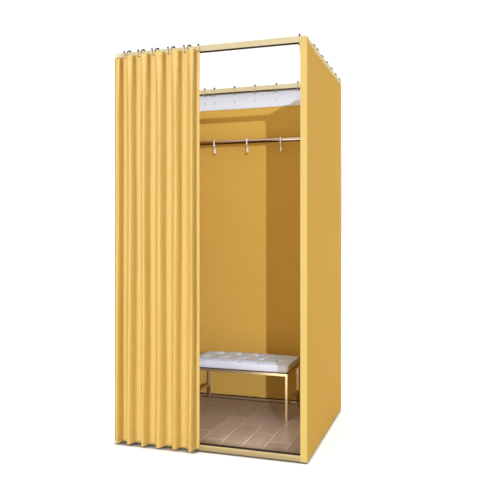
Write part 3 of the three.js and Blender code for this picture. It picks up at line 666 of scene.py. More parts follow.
def drift(tree, place, size, first, second):
    """Colour that drifts slowly between two over the surface."""
    group = place_group(tree, "Colour drift", Place=place, Size=size, First=first, Second=second)
    return group["Colour"]


# Materials

def cloth_material(name, first, second, thread, rows, bump=0.0003, roughness=0.9, gloss=0.12):
    """Woven cloth with rows of stitches at the given heights, each in a shallow groove with painted
    shade.
    """
    material, tree, shader = new_material(name, Roughness=roughness, Specular_IOR_Level=gloss)
    place = cloth_place(tree)
    weave = place_group(tree, "Weave", Place=place, Thread=thread)
    shade = spread(tree, weave["Shade"], 0.25, 0.75, 0.93, 1.05)
    drifting = drift(tree, place, 2.3, rgba(first), rgba(second))
    colour = blend_colour(tree, 1.0, drifting, grey(tree, shade), "MULTIPLY")
    height = weave["Height"]
    for row in rows:
        stitch = place_group(tree, "Stitch row", Place=place, Row=row)
        sunk, sewn = stitch["Groove"], stitch["Mask"]
        # Painted shade darkens each groove
        colour = blend_colour(tree, maths(tree, "MULTIPLY", sunk, 0.30), colour, rgba(second, 0.55))
        colour = blend_colour(tree, maths(tree, "MULTIPLY", sewn, 0.8), colour, rgba(first, 1.25))
        height = maths(tree, "ADD", height, maths(tree, "MULTIPLY", sewn, 1.5))
        height = maths(tree, "SUBTRACT", height, maths(tree, "MULTIPLY", sunk, 2.0))
    wire(tree, colour, shader.inputs["Base Color"])
    wire(tree, bumped(tree, height, bump), shader.inputs["Normal"])
    return material


def yellow_material(name, hem, top_rows, tone=1.0, **finish):
    """The yellow cloth, stitched twice over its hem and in the given rows at the top."""
    look = settings().cloth
    rows = [hem + look.hem, hem + look.hem - HEM_SECOND_ROW, *top_rows]
    return cloth_material(
        name, toned(look.yellow, tone), toned(look.yellow_deep, tone), look.thread, rows, **finish)


def tape_material():
    look = settings().cloth
    foot, thread = TAPE_TOP - TAPE_HEIGHT, 0.0016
    rows = [TAPE_TOP - TAPE_ROW, foot + TAPE_ROW, TAPE_TOP - TAPE_HEIGHT / 2]
    return cloth_material(
        "Header tape weave", look.tape, toned(look.tape, 0.93), thread, rows, bump=0.0004)


def metal_material(name, colour, roughness, direction, metallic=0.9, lines=900.0, wear=0.35):
    """Coated or polished metal with fine lines along the tube, rubbed edges and faint dust."""
    material, tree, shader = new_material(name, Metallic=metallic)
    place = object_place(tree)
    along = stretched(tree, place, direction)
    grain = place_group(tree, "Line grain", Place=along, Fineness=lines)
    rub = place_group(tree, "Edge rub", Place=place, Size=80.0)
    base = drift(tree, place, 9.0, rgba(colour), rgba(colour, 0.92))
    worn = blend_colour(tree, maths(tree, "MULTIPLY", rub["Rub"], wear), base, rgba(colour, 1.25))
    dusty = blend_colour(tree, maths(tree, "MULTIPLY", rub["Dust"], 0.3), worn, rgba(colour, 0.45))
    wire(tree, dusty, shader.inputs["Base Color"])
    streaks = spread(tree, grain["Streak"], 0.3, 0.7, roughness - 0.05, roughness + 0.06)
    rough = maths(tree, "ADD", streaks, maths(tree, "MULTIPLY", rub["Dust"], 0.2))
    wire(tree, rough, shader.inputs["Roughness"])
    wire(tree, bumped(tree, grain["Grain"], 0.00002, 0.4), shader.inputs["Normal"])
    return material


def base_colour(material):
    """A made material's tree, its base colour socket, and what feeds that socket."""
    tree = material.node_tree
    socket = tree.nodes["Principled BSDF"].inputs["Base Color"]
    return tree, socket, socket.links[0].from_socket


def ring_material():
    """Dark bronze, rubbed to its paler metal where the ring runs down beside the rail."""
    look = settings().metal
    rubbed_to, dark_from, uneven = 1.993, 2.002, 0.002
    metal = metal_material("Ring bronze", look.bronze, 0.55, NO_STRETCH, 0.4, 1500.0, 0.8)
    tree, base, dark = base_colour(metal)
    patchy = noise(tree, object_place(tree), 160.0, 3.0)
    height = maths(tree, "ADD", split(tree, object_place(tree))[2],
                   spread(tree, patchy, 0.3, 0.7, -uneven, uneven))
    upper = spread(tree, height, rubbed_to, dark_from)
    wire(tree, blend_colour(tree, upper, rgba(look.gold, 0.92), dark), base)
    return metal


def banded(material, height, bands, tint):
    """Tints a tube's metal in bands of (start, end, share), heights measured from the given one."""
    tree, base, bright = base_colour(material)
    above = maths(tree, "SUBTRACT", split(tree, object_place(tree))[2], height)
    share = 0.0
    for start, end, most in bands:
        share = maths(tree, "ADD", share, spread(tree, above, start, end, 0.0, most))
    wire(tree, blend_colour(tree, share, bright, (*tint, 1.0)), base)
    return material


def rail_material():
    """Polished copper, with painted shade along its underside and a darker band along its top line.
    """
    underside, top_line = (-0.001, -0.008, 0.88), (0.009, 0.013, 0.75)
    metal = metal_material("Rail copper", settings().metal.copper, 0.20, ALONG_X, 1.0)
    return banded(metal, HANG_LINE.z, (underside, top_line), (0.06, 0.022, 0.010))


def sill_material():
    """The rail one steps over: a deeper gold, with painted shade that grows browner towards the
    ground.
    """
    # Painted shade: bands that darken the gold below the rail's top and again at its foot
    below_top, foot = (0.029, 0.021, 0.50), (0.014, 0.007, 0.22)
    gold = toned(settings().metal.gold, 1.02, 0.94, 0.80)
    metal = metal_material("Sill gold tube", gold, TUBE_ROUGHNESS, NO_STRETCH)
    return banded(metal, 0.0, (below_top, foot), (0.42, 0.32, 0.15))


def plastic_material(name, colour, roughness, coat=0.0, pebble=1500.0, bump=0.00003):
    """Plastic or rubber with a fine pebbled face and paler edges."""
    material, tree, shader = new_material(name, Coat_Weight=coat, Coat_Roughness=0.2)
    place = object_place(tree)
    base = drift(tree, place, 14.0, rgba(colour), rgba(colour, 0.88))
    rub = place_group(tree, "Edge rub", Place=place, Size=120.0)["Rub"]
    worn = blend_colour(tree, maths(tree, "MULTIPLY", rub, 0.3), base, rgba(colour, 1.4))
    wire(tree, worn, shader.inputs["Base Color"])
    raised = place_group(tree, "Pebble grain", Place=place, Size=pebble)["Height"]
    rough = spread(tree, raised, 0.2, 0.9, roughness + 0.05, roughness - 0.04)
    wire(tree, rough, shader.inputs["Roughness"])
    wire(tree, bumped(tree, raised, bump), shader.inputs["Normal"])
    return material


def plank_material():
    """Brown vinyl planks: wood lines along each plank, a tone of its own for each."""
    look = settings().floor
    material, tree, shader = new_material("Floor planks", Coat_Weight=0.15, Coat_Roughness=0.25)
    place = object_place(tree)
    attribute = tree.nodes.new("ShaderNodeAttribute")
    attribute.attribute_name = "plank_tone"
    tone = attribute.outputs["Fac"]
    offset = tree.nodes.new("ShaderNodeCombineXYZ")
    for socket, shift in zip(offset.inputs, (7.0, 3.0)):
        wire(tree, maths(tree, "MULTIPLY", tone, shift), socket)
    shifted = tree.nodes.new("ShaderNodeVectorMath")
    shifted.operation = "ADD"
    wire(tree, place, shifted.inputs[0])
    wire(tree, offset.outputs[0], shifted.inputs[1])
    along = stretched(tree, shifted.outputs[0], (1.0, 0.07, 1.0))
    grain = place_group(tree, "Line grain", Place=along, Fineness=260.0)
    lines = spread(tree, grain["Grain"], 0.35, 0.7)
    base = blend_colour(tree, lines, rgba(look.plank, 0.90), rgba(look.plank, 1.10))
    streaks = spread(tree, grain["Streak"], 0.4, 0.65, 0.0, 0.35)
    base = blend_colour(tree, streaks, base, rgba(look.plank, 0.72))
    own_tone = grey(tree, spread(tree, tone, 0.0, 1.0, 0.90, 1.10))
    tinted = blend_colour(tree, 1.0, base, own_tone, "MULTIPLY")
    scuffs = spread(tree, noise(tree, place, 7.0, 5.0, 0.65), 0.55, 0.75)
    dusty = blend_colour(tree, maths(tree, "MULTIPLY", scuffs, 0.25), tinted, rgba(look.joint, 0.9))
    wire(tree, dusty, shader.inputs["Base Color"])
    wire(tree, spread(tree, grain["Grain"], 0.3, 0.7, 0.46, 0.34), shader.inputs["Roughness"])
    wire(tree, bumped(tree, grain["Grain"], 0.00012, 0.8), shader.inputs["Normal"])
    return material


def joint_material():
    look = settings().floor
    material, tree, shader = new_material("Plank joints", Roughness=0.8)
    place = object_place(tree)
    wire(tree, drift(tree, place, 40.0, rgba(look.joint), rgba(look.joint, 0.8)),
         shader.inputs["Base Color"])
    sand = noise(tree, place, 900.0, 2.0)
    wire(tree, bumped(tree, sand, 0.0002), shader.inputs["Normal"])
    return material


def leather_material():
    """Pale coated cover with a pebbled grain; its upper side painted cooler to offset the warm
    light bounced onto it, and painted shade in the creases.
    """
    look = settings().bench
    material, tree, shader = new_material(
        "Bench leather", Coat_Weight=0.12, Coat_Roughness=0.35, Specular_IOR_Level=0.4)
    place = object_place(tree)
    geometry = tree.nodes.new("ShaderNodeNewGeometry").outputs
    # The upper side is painted bluer to offset the warm light that the yellow curtains bounce onto
    # it
    upward = spread(tree, split(tree, geometry["True Normal"])[2], 0.35, 0.75)
    first, second = (
        blend_colour(tree, upward, rgba(look.leather, share), rgba(look.leather_top, share))
        for share in (1.0, 0.93))
    raised = place_group(tree, "Pebble grain", Place=place, Size=620.0)["Height"]
    # Painted shade: darker where the cover curves inwards, in the creases
    crease = spread(tree, geometry["Pointiness"], 0.50, 0.42, 0.0, 0.5)
    dark = blend_colour(tree, crease, drift(tree, place, 7.0, first, second),
                        rgba(look.leather_top, 0.66))
    pores = spread(tree, raised, 0.5, 0.1, 0.0, 0.25)
    wire(tree, blend_colour(tree, pores, dark, rgba(look.leather, 0.75)),
         shader.inputs["Base Color"])
    wire(tree, spread(tree, raised, 0.2, 0.9, 0.56, 0.44), shader.inputs["Roughness"])
    wire(tree, bumped(tree, raised, 0.00018, 0.7), shader.inputs["Normal"])
    return material


def board_material():
    look = settings().bench
    material, tree, shader = new_material("Bench board", Roughness=0.6)
    along = stretched(tree, object_place(tree), (0.08, 1.0, 1.0))
    grain = place_group(tree, "Line grain", Place=along, Fineness=300.0)
    wire(tree, blend_colour(tree, grain["Grain"], rgba(look.board, 0.7), rgba(look.board, 1.6)),
         shader.inputs["Base Color"])
    wire(tree, bumped(tree, grain["Grain"], 0.0002), shader.inputs["Normal"])
    return material


def stage_material():
    """White studio floor that glows round the room, with a painted shadow under the room: darker
    there, and without the glow.
    """
    look = settings().studio
    glow_by_light, glow_seen, shadow_tone = 0.04, 0.34, 0.55
    material, tree, shader = new_material(
        "Studio floor", Roughness=1.0, Specular_IOR_Level=0.0, Emission_Strength=1.0)
    place = object_place(tree)
    x, y, _ = split(tree, place)
    from_middle = maths(tree, "ABSOLUTE", maths(tree, "SUBTRACT", x, FOOT_MIDDLE))
    past_side = maths(tree, "SUBTRACT", from_middle, FOOT_HALF)
    front_line = spread(tree, x, *PLEATS_RIGHT, PLEATS_FRONT, FOOT_FRONT)
    past_front = maths(tree, "SUBTRACT", front_line, y)
    past_back = maths(tree, "SUBTRACT", y, FOOT_BACK)
    past_edge = maths(tree, "MAXIMUM", past_side, maths(tree, "MAXIMUM", past_front, past_back))
    clear = spread(tree, past_edge, 0.0, FOOT_RAMP)
    seen = tree.nodes.new("ShaderNodeLightPath").outputs["Is Camera Ray"]
    glow = maths(tree, "MULTIPLY", clear, spread(tree, seen, 0.0, 1.0, glow_by_light, glow_seen))
    wire(tree, grey(tree, glow), shader.inputs["Emission Color"])
    soft = spread(tree, noise(tree, place, 0.4, 2.0), 0.3, 0.7)
    colour = blend_colour(tree, soft, rgba(look.floor), rgba(look.floor, 0.99))
    # Painted shadow inside the room's foot: a darker floor colour
    wire(tree, blend_colour(tree, clear, rgba(look.floor, shadow_tone), colour),
         shader.inputs["Base Color"])
    return material


# Sheen of the cloth that faces the front
LIT_FINISH = {"roughness": 0.44, "gloss": 0.6}

MATERIALS = {
    "front cloth": lambda: yellow_material(
        "Front curtain cloth", FRONT_HEM, [FRONT_TOP - row for row in FRONT_TOP_ROWS], FRONT_TONE,
        **LIT_FINISH),
    "flat cloth": lambda: yellow_material(
        "Flat curtain cloth", SIDE_HEM, [CLOTH_TOP - TOP_ROW, TAPE_TOP - TAPE_HEIGHT]),
    "strip cloth": lambda: yellow_material(
        "Turned strip cloth", SIDE_HEM, [CLOTH_TOP - TOP_ROW], **LIT_FINISH),
    "tape": tape_material,
    "gold": lambda: metal_material("Gold tube", settings().metal.gold, TUBE_ROUGHNESS, NO_STRETCH),
    "deep gold": sill_material,
    # Inner base rails: a browner gold painted as their shade and as a reflection of the brown floor
    "shaded gold": lambda: metal_material(
        "Shaded gold tube", (0.52, 0.37, 0.18), TUBE_ROUGHNESS, NO_STRETCH),
    "gold connector": lambda: plastic_material(
        "Gold connector", toned(settings().metal.gold, 0.95), 0.42, coat=0.3),
    # Near-black sheet laid on the rails as painted shade
    "shade strip": lambda: plastic_material("Painted shade strip", (0.016, 0.008, 0.004), 0.7),
    "rubber": lambda: plastic_material("Glide rubber", (0.03, 0.028, 0.026), 0.75),
    "bronze": ring_material,
    "eyelet": lambda: plastic_material("Eyelet bronze", (0.045, 0.026, 0.012), 0.5),
    "copper": rail_material,
    "champagne": lambda: metal_material(
        "Bench champagne", settings().metal.champagne, 0.33, NO_STRETCH, 0.85),
    "cream": lambda: metal_material("Hook cream", (0.96, 0.88, 0.72), 0.4, ALONG_Z, 0.25),
    "bush": lambda: plastic_material("Hook bush", (0.16, 0.10, 0.06), 0.5),
    "tack": lambda: plastic_material(
        "Tack thread", (0.50, 0.54, 0.62), 0.8, pebble=900.0, bump=0.0002),
    "screw": lambda: metal_material("Screw steel", (0.55, 0.50, 0.42), 0.3, NO_STRETCH, 0.95),
    "planks": plank_material,
    "joints": joint_material,
    "leather": leather_material,
    "board": board_material,
}
_made = {}


def material(name):
    if name not in _made:
        _made[name] = MATERIALS[name]()
    return _made[name]


# Sheets of cloth

def cloth_sheet(name, columns, rows, point, tag, thickness, hem_line=0.0):
    """A sheet over a grid of columns and rows, thicker below the line to which it is turned up."""
    points, tags, faces = [], [], []
    for row in rows:
        for column in columns:
            points.append(point(column, row))
            tags.append(tag(column, row))
    count = len(columns)
    for up in range(len(rows) - 1):
        for across in range(count - 1):
            corner = up * count + across
            faces.append((corner, corner + 1, corner + count + 1, corner + count))
    obj = mesh_object(name, points, faces, tags)
    values = {"thickness": thickness, "offset": 0.0, "use_even_offset": True}
    if hem_line:
        group = obj.vertex_groups.new(name="turned_up")
        turned = sum(row < hem_line for row in rows)
        group.add(range(turned * count), 1.0, "REPLACE")
        values.update(vertex_group="turned_up", thickness_vertex_group=0.6)
    apply_modifier(obj, "SOLIDIFY", **values)
    obj.vertex_groups.clear()
    return smooth(obj, 60)


def fold_point(run, depth, hangs, share=0.5):
    """Plan of the pleated cloth: drawn to the rail where the run is whole, forward in between.

    The folds are square at the rings, with narrow crests and wide valleys lower down.
    """
    heading, narrow, square = 0.12, 0.72, 1.25
    span = min(max(math.floor(run), 0), len(hangs) - 2)
    pitch = hangs[span + 1] - hangs[span]
    at_rings = max(0.0, share - 1 + heading) / heading
    from_crest = min(1.0, abs(2 * (run - span) - 1))
    low_wave = -math.cos(math.pi * from_crest ** narrow)
    top_wave = math.tanh(square * math.cos(2 * math.pi * run)) / math.tanh(square)
    wave = low_wave + (top_wave - low_wave) * at_rings
    swing = (0.30 + 0.40 * at_rings) * math.sin(4 * math.pi * run) / (4 * math.pi)
    return hangs[span] + (run - span + swing) * pitch, FRONT_CLOTH - depth * (1 - wave) / 2


def fold_lengths(runs, depth, hangs):
    """Metres of flat cloth from the fixed edge to each run."""
    lengths, total = [0.0], 0.0
    for before, after in zip(runs, runs[1:]):
        total += math.dist(fold_point(before, depth, hangs), fold_point(after, depth, hangs))
        lengths.append(total)
    return lengths


class PleatedCloth:
    """The front curtain in cloth places: a run counted in rings, and a share of its height."""

    steps_per_pleat = 30
    first_pleat = 0.82
    hem_lean, hem_lean_ends = 0.0055, 0.3
    valley_lean, valley_reach = 0.007, 0.3
    heading, hem_zone = 0.07, 0.03

    def __init__(self):
        look = settings().cloth
        self.hem_depth, self.top_depth = look.depth_hem, look.depth_top
        self.hangs = [share * DRAWN_WIDTH - HALF_ROOM for share in HANG_SHARES]
        self.spans = len(self.hangs) - 1
        steps = self.spans * self.steps_per_pleat
        self.runs = [(self.spans + LEAD_EDGE) * step / steps for step in range(steps + 1)]
        middle_depth = (self.top_depth + self.hem_depth) / 2
        self.lengths = fold_lengths(self.runs, middle_depth, self.hangs)
        self.height = FRONT_TOP - FRONT_HEM

    def rows(self):
        """Shares of the height, closer together at the hem's fold and in the heading."""
        rows = [0, 0.006, 0.012, 0.02, 0.0295, 0.0305, 0.036]
        rows += [0.05 + 0.9 * step / 44 for step in range(45)]
        return rows + [0.962, 0.972, 0.98, 0.987, 0.993, 1.0]

    def depth(self, run, share):
        """Depth of the pleats, the first one shallower, each a little different."""
        depth = self.hem_depth + (self.top_depth - self.hem_depth) * share
        depth *= self.first_pleat + (1 - self.first_pleat) * min(1.0, run)
        own = 0.05 * math.sin(2.3 * run + 1.3) * (1 - share)
        return depth * (1 + own + 0.025 * math.sin(5.1 * run + 4 * share))

    def stray(self, run, share, crest):
        """How far a place lies beside that of an even pleat."""
        low = 1 - share
        inner = min(1.0, run, max(0.0, self.spans - run) + 0.15)
        wander = 0.0022 * math.sin(3.7 * run + 2.2 * share) * low
        wander += 0.0012 * math.sin(9 * share + 1.9 * run)
        shift = FIRST_CREST if run < 1 else LAST_CREST if run > self.spans - 1 else CREST_SHIFT
        at_hem = self.hem_lean * max(0.0, 1 - share / self.hem_lean_ends)
        from_last_valley = (run - self.spans + 1) / self.valley_reach
        valley = math.exp(-(from_last_valley ** 2)) * min(1.0, 2.5 * low)
        return inner * wander + crest * (shift - at_hem) - self.valley_lean * valley

    def level(self, run, share, crest):
        """Height of a place: the top edge droops between rings, and the hem is uneven."""
        droop = 0.004 + 0.018 * math.exp((0.5 - max(run, 0.5)) / 1.2)
        in_heading = max(0.0, share - 1 + self.heading) / self.heading
        lift = 0.005 * (1 - crest) - 0.0015 * math.sin(2.7 * run)
        at_hem = max(0.0, self.hem_zone - share) / self.hem_zone
        return FRONT_HEM + share * self.height - droop * crest * in_heading + lift * at_hem

    def point(self, run, share):
        crest = (1 - math.cos(2 * math.pi * run)) / 2
        x, y = fold_point(run, self.depth(run, share), self.hangs, share)
        ripple = 0.0010 * math.sin(17 * run + 11 * share) * crest * math.sin(math.pi * share)
        return x + self.stray(run, share, crest), y + ripple, self.level(run, share, crest)


class FITTING_OT_front_curtain(bpy.types.Operator):
    """Hangs the pleated front curtain, drawn aside on its rings"""
    bl_idname = "fitting.front_curtain"
    bl_label = "Front curtain"

    def execute(self, context):
        cloth = PleatedCloth()
        where = dict(zip(cloth.runs, cloth.lengths))
        obj = cloth_sheet(
            "front_curtain_cloth", cloth.runs, cloth.rows(), cloth.point,
            lambda run, share: (where[run], FRONT_HEM + share * cloth.height),
            CLOTH_THICK, settings().cloth.hem / cloth.height)
        obj.data.materials.append(material("front cloth"))
        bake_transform(obj)
        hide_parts("front_curtain")
        return {"FINISHED"}


def dense_columns(low, high, rings):
    """Places from low to high, close together near the rings."""
    found = {low, high}
    count = round((high - low) / COLUMN_STEP)
    found.update(low + (high - low) * number / count for number in range(1, count))
    reach = int(NEAR_RING / FINE_STEP)
    for ring in rings:
        found.update(ring + number * FINE_STEP for number in range(-reach, reach + 1))
    kept = []
    for value in sorted(v for v in found if low <= v <= high):
        if not kept or value - kept[-1] > FINE_STEP * 0.45:
            kept.append(value)
    kept[-1] = high
    return kept


def pucker(away, below):
    """Small upright creases under a ring, fading down and to both sides."""
    length, reach, half_width, pitch, depth = 0.085, 0.03, 0.013, 0.0105, 0.0022
    if below > length or abs(away) > reach:
        return 0.0
    fade = (1 - below / length) ** 1.5 * math.exp(-((away / half_width) ** 2))
    return depth * fade * (1 + math.cos(2 * math.pi * away / pitch)) / 2


def between(place, rings):
    """Share of the way from the ring before a place to the one after it, 0 past the last."""
    before = max([ring for ring in rings if ring <= place], default=None)
    after = min([ring for ring in rings if ring > place], default=None)
    if before is None or after is None:
        return 0.0
    return (place - before) / (after - before)


def slack(place, rings, below):
    """How far the cloth stands off between its rings, most at the top and little lower down."""
    stand_off, fades_in, swell, height = 0.0018, 0.25, 0.0016, 1.9
    share = (1 - math.cos(2 * math.pi * between(place, rings))) / 2
    wave = (math.sin(place * 7.1 + below * 1.7) + 1) / 2
    slow = wave * math.sin(math.pi * min(1.0, below / height))
    return stand_off * share * math.exp(-below / fades_in) + swell * slow


def sagged_top(place, rings):
    """Height of the top edge, lower between the rings."""
    share = between(place, rings)
    return CLOTH_TOP - TOP_SAG * 4 * share * (1 - share)


def stand_out(place, rings, below):
    """How far the cloth stands out at a place, between the rings and in the puckers under them."""
    near = min(rings, key=lambda ring: abs(ring - place))
    return slack(place, rings, below), pucker(place - near, below)


def flat_place(place, share):
    """Cloth place of a point of a flat curtain, as if its top edge didn't sag."""
    return place, SIDE_HEM + share * FLAT_HEIGHT


class SideCloth:
    """The flat side curtain in cloth places: from the front tab, round the post, to the back."""

    tab_end = 0.4655
    strip_end = 0.470
    tab_foot, tab_rise = 1.900, 0.050
    corner = 0.004
    back_end = 0.5006
    top_falls_over = 0.062
    slack_starts_over = 0.05

    def __init__(self, side, strip_top):
        self.side = side
        self.strip_top = strip_top
        self.turn_at = CLOTH_MIDDLE - self.corner
        self.front = self.turn_at - self.strip_end
        self.bend = math.pi / 2 * self.corner
        self.length = self.front + self.bend + self.back_end + self.turn_at
        self.rings = [self.place_of(y) for y in SIDE_RINGS]

    def place_of(self, y):
        """How far along the cloth a point of the side lies, from the front tab's edge."""
        return self.front + self.bend + y + self.turn_at

    def plan(self, place, z):
        """Point of the cloth's middle, and the direction it faces outwards."""
        if place <= self.front:
            lift = min(1.0, max(0.0, (z - self.tab_foot) / self.tab_rise))
            start = self.strip_end + (self.tab_end - self.strip_end) * lift
            x = start + (self.turn_at - start) * place / self.front
            return Vector((x, -CLOTH_MIDDLE)), Vector((0, -1))
        if place <= self.front + self.bend:
            angle = (place - self.front) / self.corner - math.pi / 2
            facing = Vector((math.cos(angle), math.sin(angle)))
            return Vector((self.turn_at, -self.turn_at)) + facing * self.corner, facing
        y = place - self.front - self.bend - self.turn_at
        return Vector((CLOTH_MIDDLE, y)), Vector((1, 0))

    def top(self, place):
        """Height of the top edge, which falls from the strip's corner to the rings."""
        past = place - self.front - self.bend / 2
        if past <= 0:
            return self.strip_top
        if past < self.top_falls_over:
            left = 1 - past / self.top_falls_over
            return CLOTH_TOP + (self.strip_top - CLOTH_TOP) * left ** 2
        return sagged_top(place, self.rings)

    def point(self, place, share):
        z = SIDE_HEM + (self.top(place) - SIDE_HEM) * share
        middle, facing = self.plan(place, z)
        past_post = place - self.front - self.bend
        if past_post > 0:
            loose, creased = stand_out(place, self.rings, max(0.0, CLOTH_TOP - z))
            middle += facing * (loose * min(1.0, past_post / self.slack_starts_over) + creased)
        return self.side * middle.x, middle.y, z


def flat_rows():
    """Shares of a flat curtain's height, closer together at the hem's fold and at the top."""
    rows = [0, 0.006, 0.013, 0.021, 0.0300, 0.0308]
    rows += [0.04 + 0.90 * step / 24 for step in range(25)]
    rows += [0.945 + 0.055 * step / 18 for step in range(19)]
    return rows


def back_point(x, share):
    z = SIDE_HEM + (sagged_top(x, BACK_RINGS) - SIDE_HEM) * share
    return x, CLOTH_MIDDLE + sum(stand_out(x, BACK_RINGS, max(0.0, CLOTH_TOP - z))), z


class FITTING_OT_flat_curtains(bpy.types.Operator):
    """Hangs the two side curtains and the back curtain, flat and turned round the posts"""
    bl_idname = "fitting.flat_curtains"
    bl_label = "Flat curtains"

    def execute(self, context):
        rows = flat_rows()
        hem_line = settings().cloth.hem / FLAT_HEIGHT
        for name, side, strip_top in (("right", 1, 1.996), ("left", -1, 1.973)):
            cloth = SideCloth(side, strip_top)
            round_post = {cloth.front + cloth.bend * step / 6 for step in range(7)}
            columns = sorted(round_post.union(dense_columns(0.0, cloth.length, cloth.rings)))
            obj = cloth_sheet(f"{name}_curtain_cloth", columns, rows, cloth.point, flat_place,
                              CLOTH_THICK, hem_line)
            if side > 0:
                face_out(obj)
            obj.data.materials.append(material("flat cloth"))
            obj.data.materials.append(material("strip cloth"))
            for face in obj.data.polygons:
                face.material_index = 1 if face.center.y < cloth.corner / 2 - CLOTH_MIDDLE else 0
            carried(obj, "cabin", "curtain_yellow", f"{name}_curtain")
        obj = cloth_sheet(
            "back_curtain_cloth", dense_columns(-BACK_EDGE, BACK_EDGE, BACK_RINGS), rows,
            back_point, flat_place, CLOTH_THICK, hem_line)
        obj.data.materials.append(material("flat cloth"))
        carried(obj, "cabin", "curtain_yellow", "back_curtain")
        return {"FINISHED"}


class FITTING_OT_header_tapes(bpy.types.Operator):
    """Sews the white header tapes inside the flat curtains, with a bar tack under each ring"""
    bl_idname = "fitting.header_tapes"
    bl_label = "Header tapes"

    tack_height = 1.914
    tack_half = (0.0045, 0.010)
    tack_thick = 0.0006
    steps = 120

    def execute(self, context):
        half = HALF_ROOM - 0.002
        middle = TAPE_FACE + TAPE_THICK / 2
        columns = [-half + 2 * half * step / self.steps for step in range(self.steps + 1)]
        rows = [0, 0.01, 0.03, 0.06, 0.12, 0.3, 0.5, 0.7, 0.88, 0.94, 0.97, 0.99, 1]
        sides = (
            ("back", BACK_RINGS, lambda along, out, z: (along, middle + out, z)),
            ("right", SIDE_RINGS, lambda along, out, z: (middle + out, along, z)),
            ("left", SIDE_RINGS, lambda along, out, z: (-middle - out, along, z)),
        )
        for name, rings, put in sides:
            def point(along, share, put=put, rings=rings):
                near = min(abs(along - ring) for ring in rings)
                curl = -0.0003 * math.exp(-((near / 0.03) ** 2)) * share
                return put(along, curl, self.level(share))

            obj = cloth_sheet(f"{name}_header_weave", columns, rows, point,
                              lambda along, share: (along, self.level(share)), TAPE_THICK * 0.75)
            face_out(obj)
            obj.data.materials.append(material("tape"))
            carried(obj, "cabin", "tape_white", f"{name}_header_tape")
            tacks = self.tacks(name, rings)
            carried(tacks, "cabin", "tape_white")
        return {"FINISHED"}

    @staticmethod
    def level(share):
        return TAPE_TOP - TAPE_HEIGHT * (1 - share)

    def tacks(self, name, rings):
        """A short upright patch of close stitches under each ring."""
        beside = -0.006 if name == "back" else 0.0
        patches = joined([self.tack(ring + beside) for ring in rings])
        inner = TAPE_FACE - 0.0004
        turns = {"back": (0, 0, inner), "right": (-90, inner, 0), "left": (90, -inner, 0)}
        angle, x, y = turns[name]
        patches.rotation_euler = (0, 0, math.radians(angle))
        patches.location = (x, y, self.tack_height)
        if name == "right":
            patches.scale = (-1, 1, 1)
        settle(patches, f"{name}_header_tacks", material("tack"))
        face_out(patches)
        return patches

    def tack(self, middle):
        wide, tall = self.tack_half
        low, high = (middle - wide, 0, -tall), (middle + wide, self.tack_thick, tall)
        return box_piece(low, high, 0.0002, 1)


# Rings and eyelets

def hoop(radius, wire_radius, sides, wire_sides, turn):
    """A closed ring of round wire, turned about its middle."""
    clear_selection()
    bpy.ops.mesh.primitive_torus_add(
        major_radius=radius, minor_radius=wire_radius,
        major_segments=sides, minor_segments=wire_sides, rotation=turn)
    obj = bpy.context.object
    bpy.ops.object.transform_apply(location=False, rotation=True, scale=False)
    return obj


def ring_model():
    """An open ring of round wire with a hinge knuckle below and a snap sleeve above."""
    look = settings().metal
    radius, wire_radius = look.ring_radius, look.ring_wire
    knuckle_half, pin_half, latch_half, latch_radius = 0.0035, wire_radius * 1.6, 0.0062, 0.0046
    parts = [
        hoop(radius, wire_radius, 48, 12, (0, math.pi / 2, 0)),
        round_bar(wire_radius * 1.35, (0, -knuckle_half, -radius), (0, knuckle_half, -radius),
                  16, 0.0004),
        round_bar(wire_radius * 0.55, (-pin_half, 0, -radius), (pin_half, 0, -radius), 10, 0.0002),
        round_bar(latch_radius, (0, -latch_half, radius), (0, latch_half, radius), 20, 0.0018),
    ]
    return smooth(joined(parts), 50)


def eyelet_model():
    """A wide oval metal eyelet with a dark disc across its hole as painted shade."""
    radius, wire_radius, hole_shade_half = 0.0046, 0.0015, 0.0010
    rim = hoop(radius, wire_radius, 24, 8, (math.pi / 2, 0, 0))
    hole_shade = round_bar(radius, (0, -hole_shade_half, 0), (0, hole_shade_half, 0), 24, 0.0002)
    eyelet = joined([rim, hole_shade])
    eyelet.scale = (1.15, 1, 0.85)
    bpy.ops.object.transform_apply(location=True, rotation=True, scale=True)
    return smooth(eyelet, 50)


def placed(model, name, look, centre, turn, body, *nodes):
    """A copy of a ring or an eyelet in its place, on its body."""
    piece = copy_of(model, name)
    piece.location = centre
    piece.rotation_euler = (0, 0, turn)
    settle(piece, name, material(look))
    return carried(piece, body, "ring_bronze", *nodes)


def crossing(reach, radius):
    """Height below the ring's middle at which its wire passes a plane at this reach."""
    return math.sqrt(max(0.0, radius * radius - reach * reach))


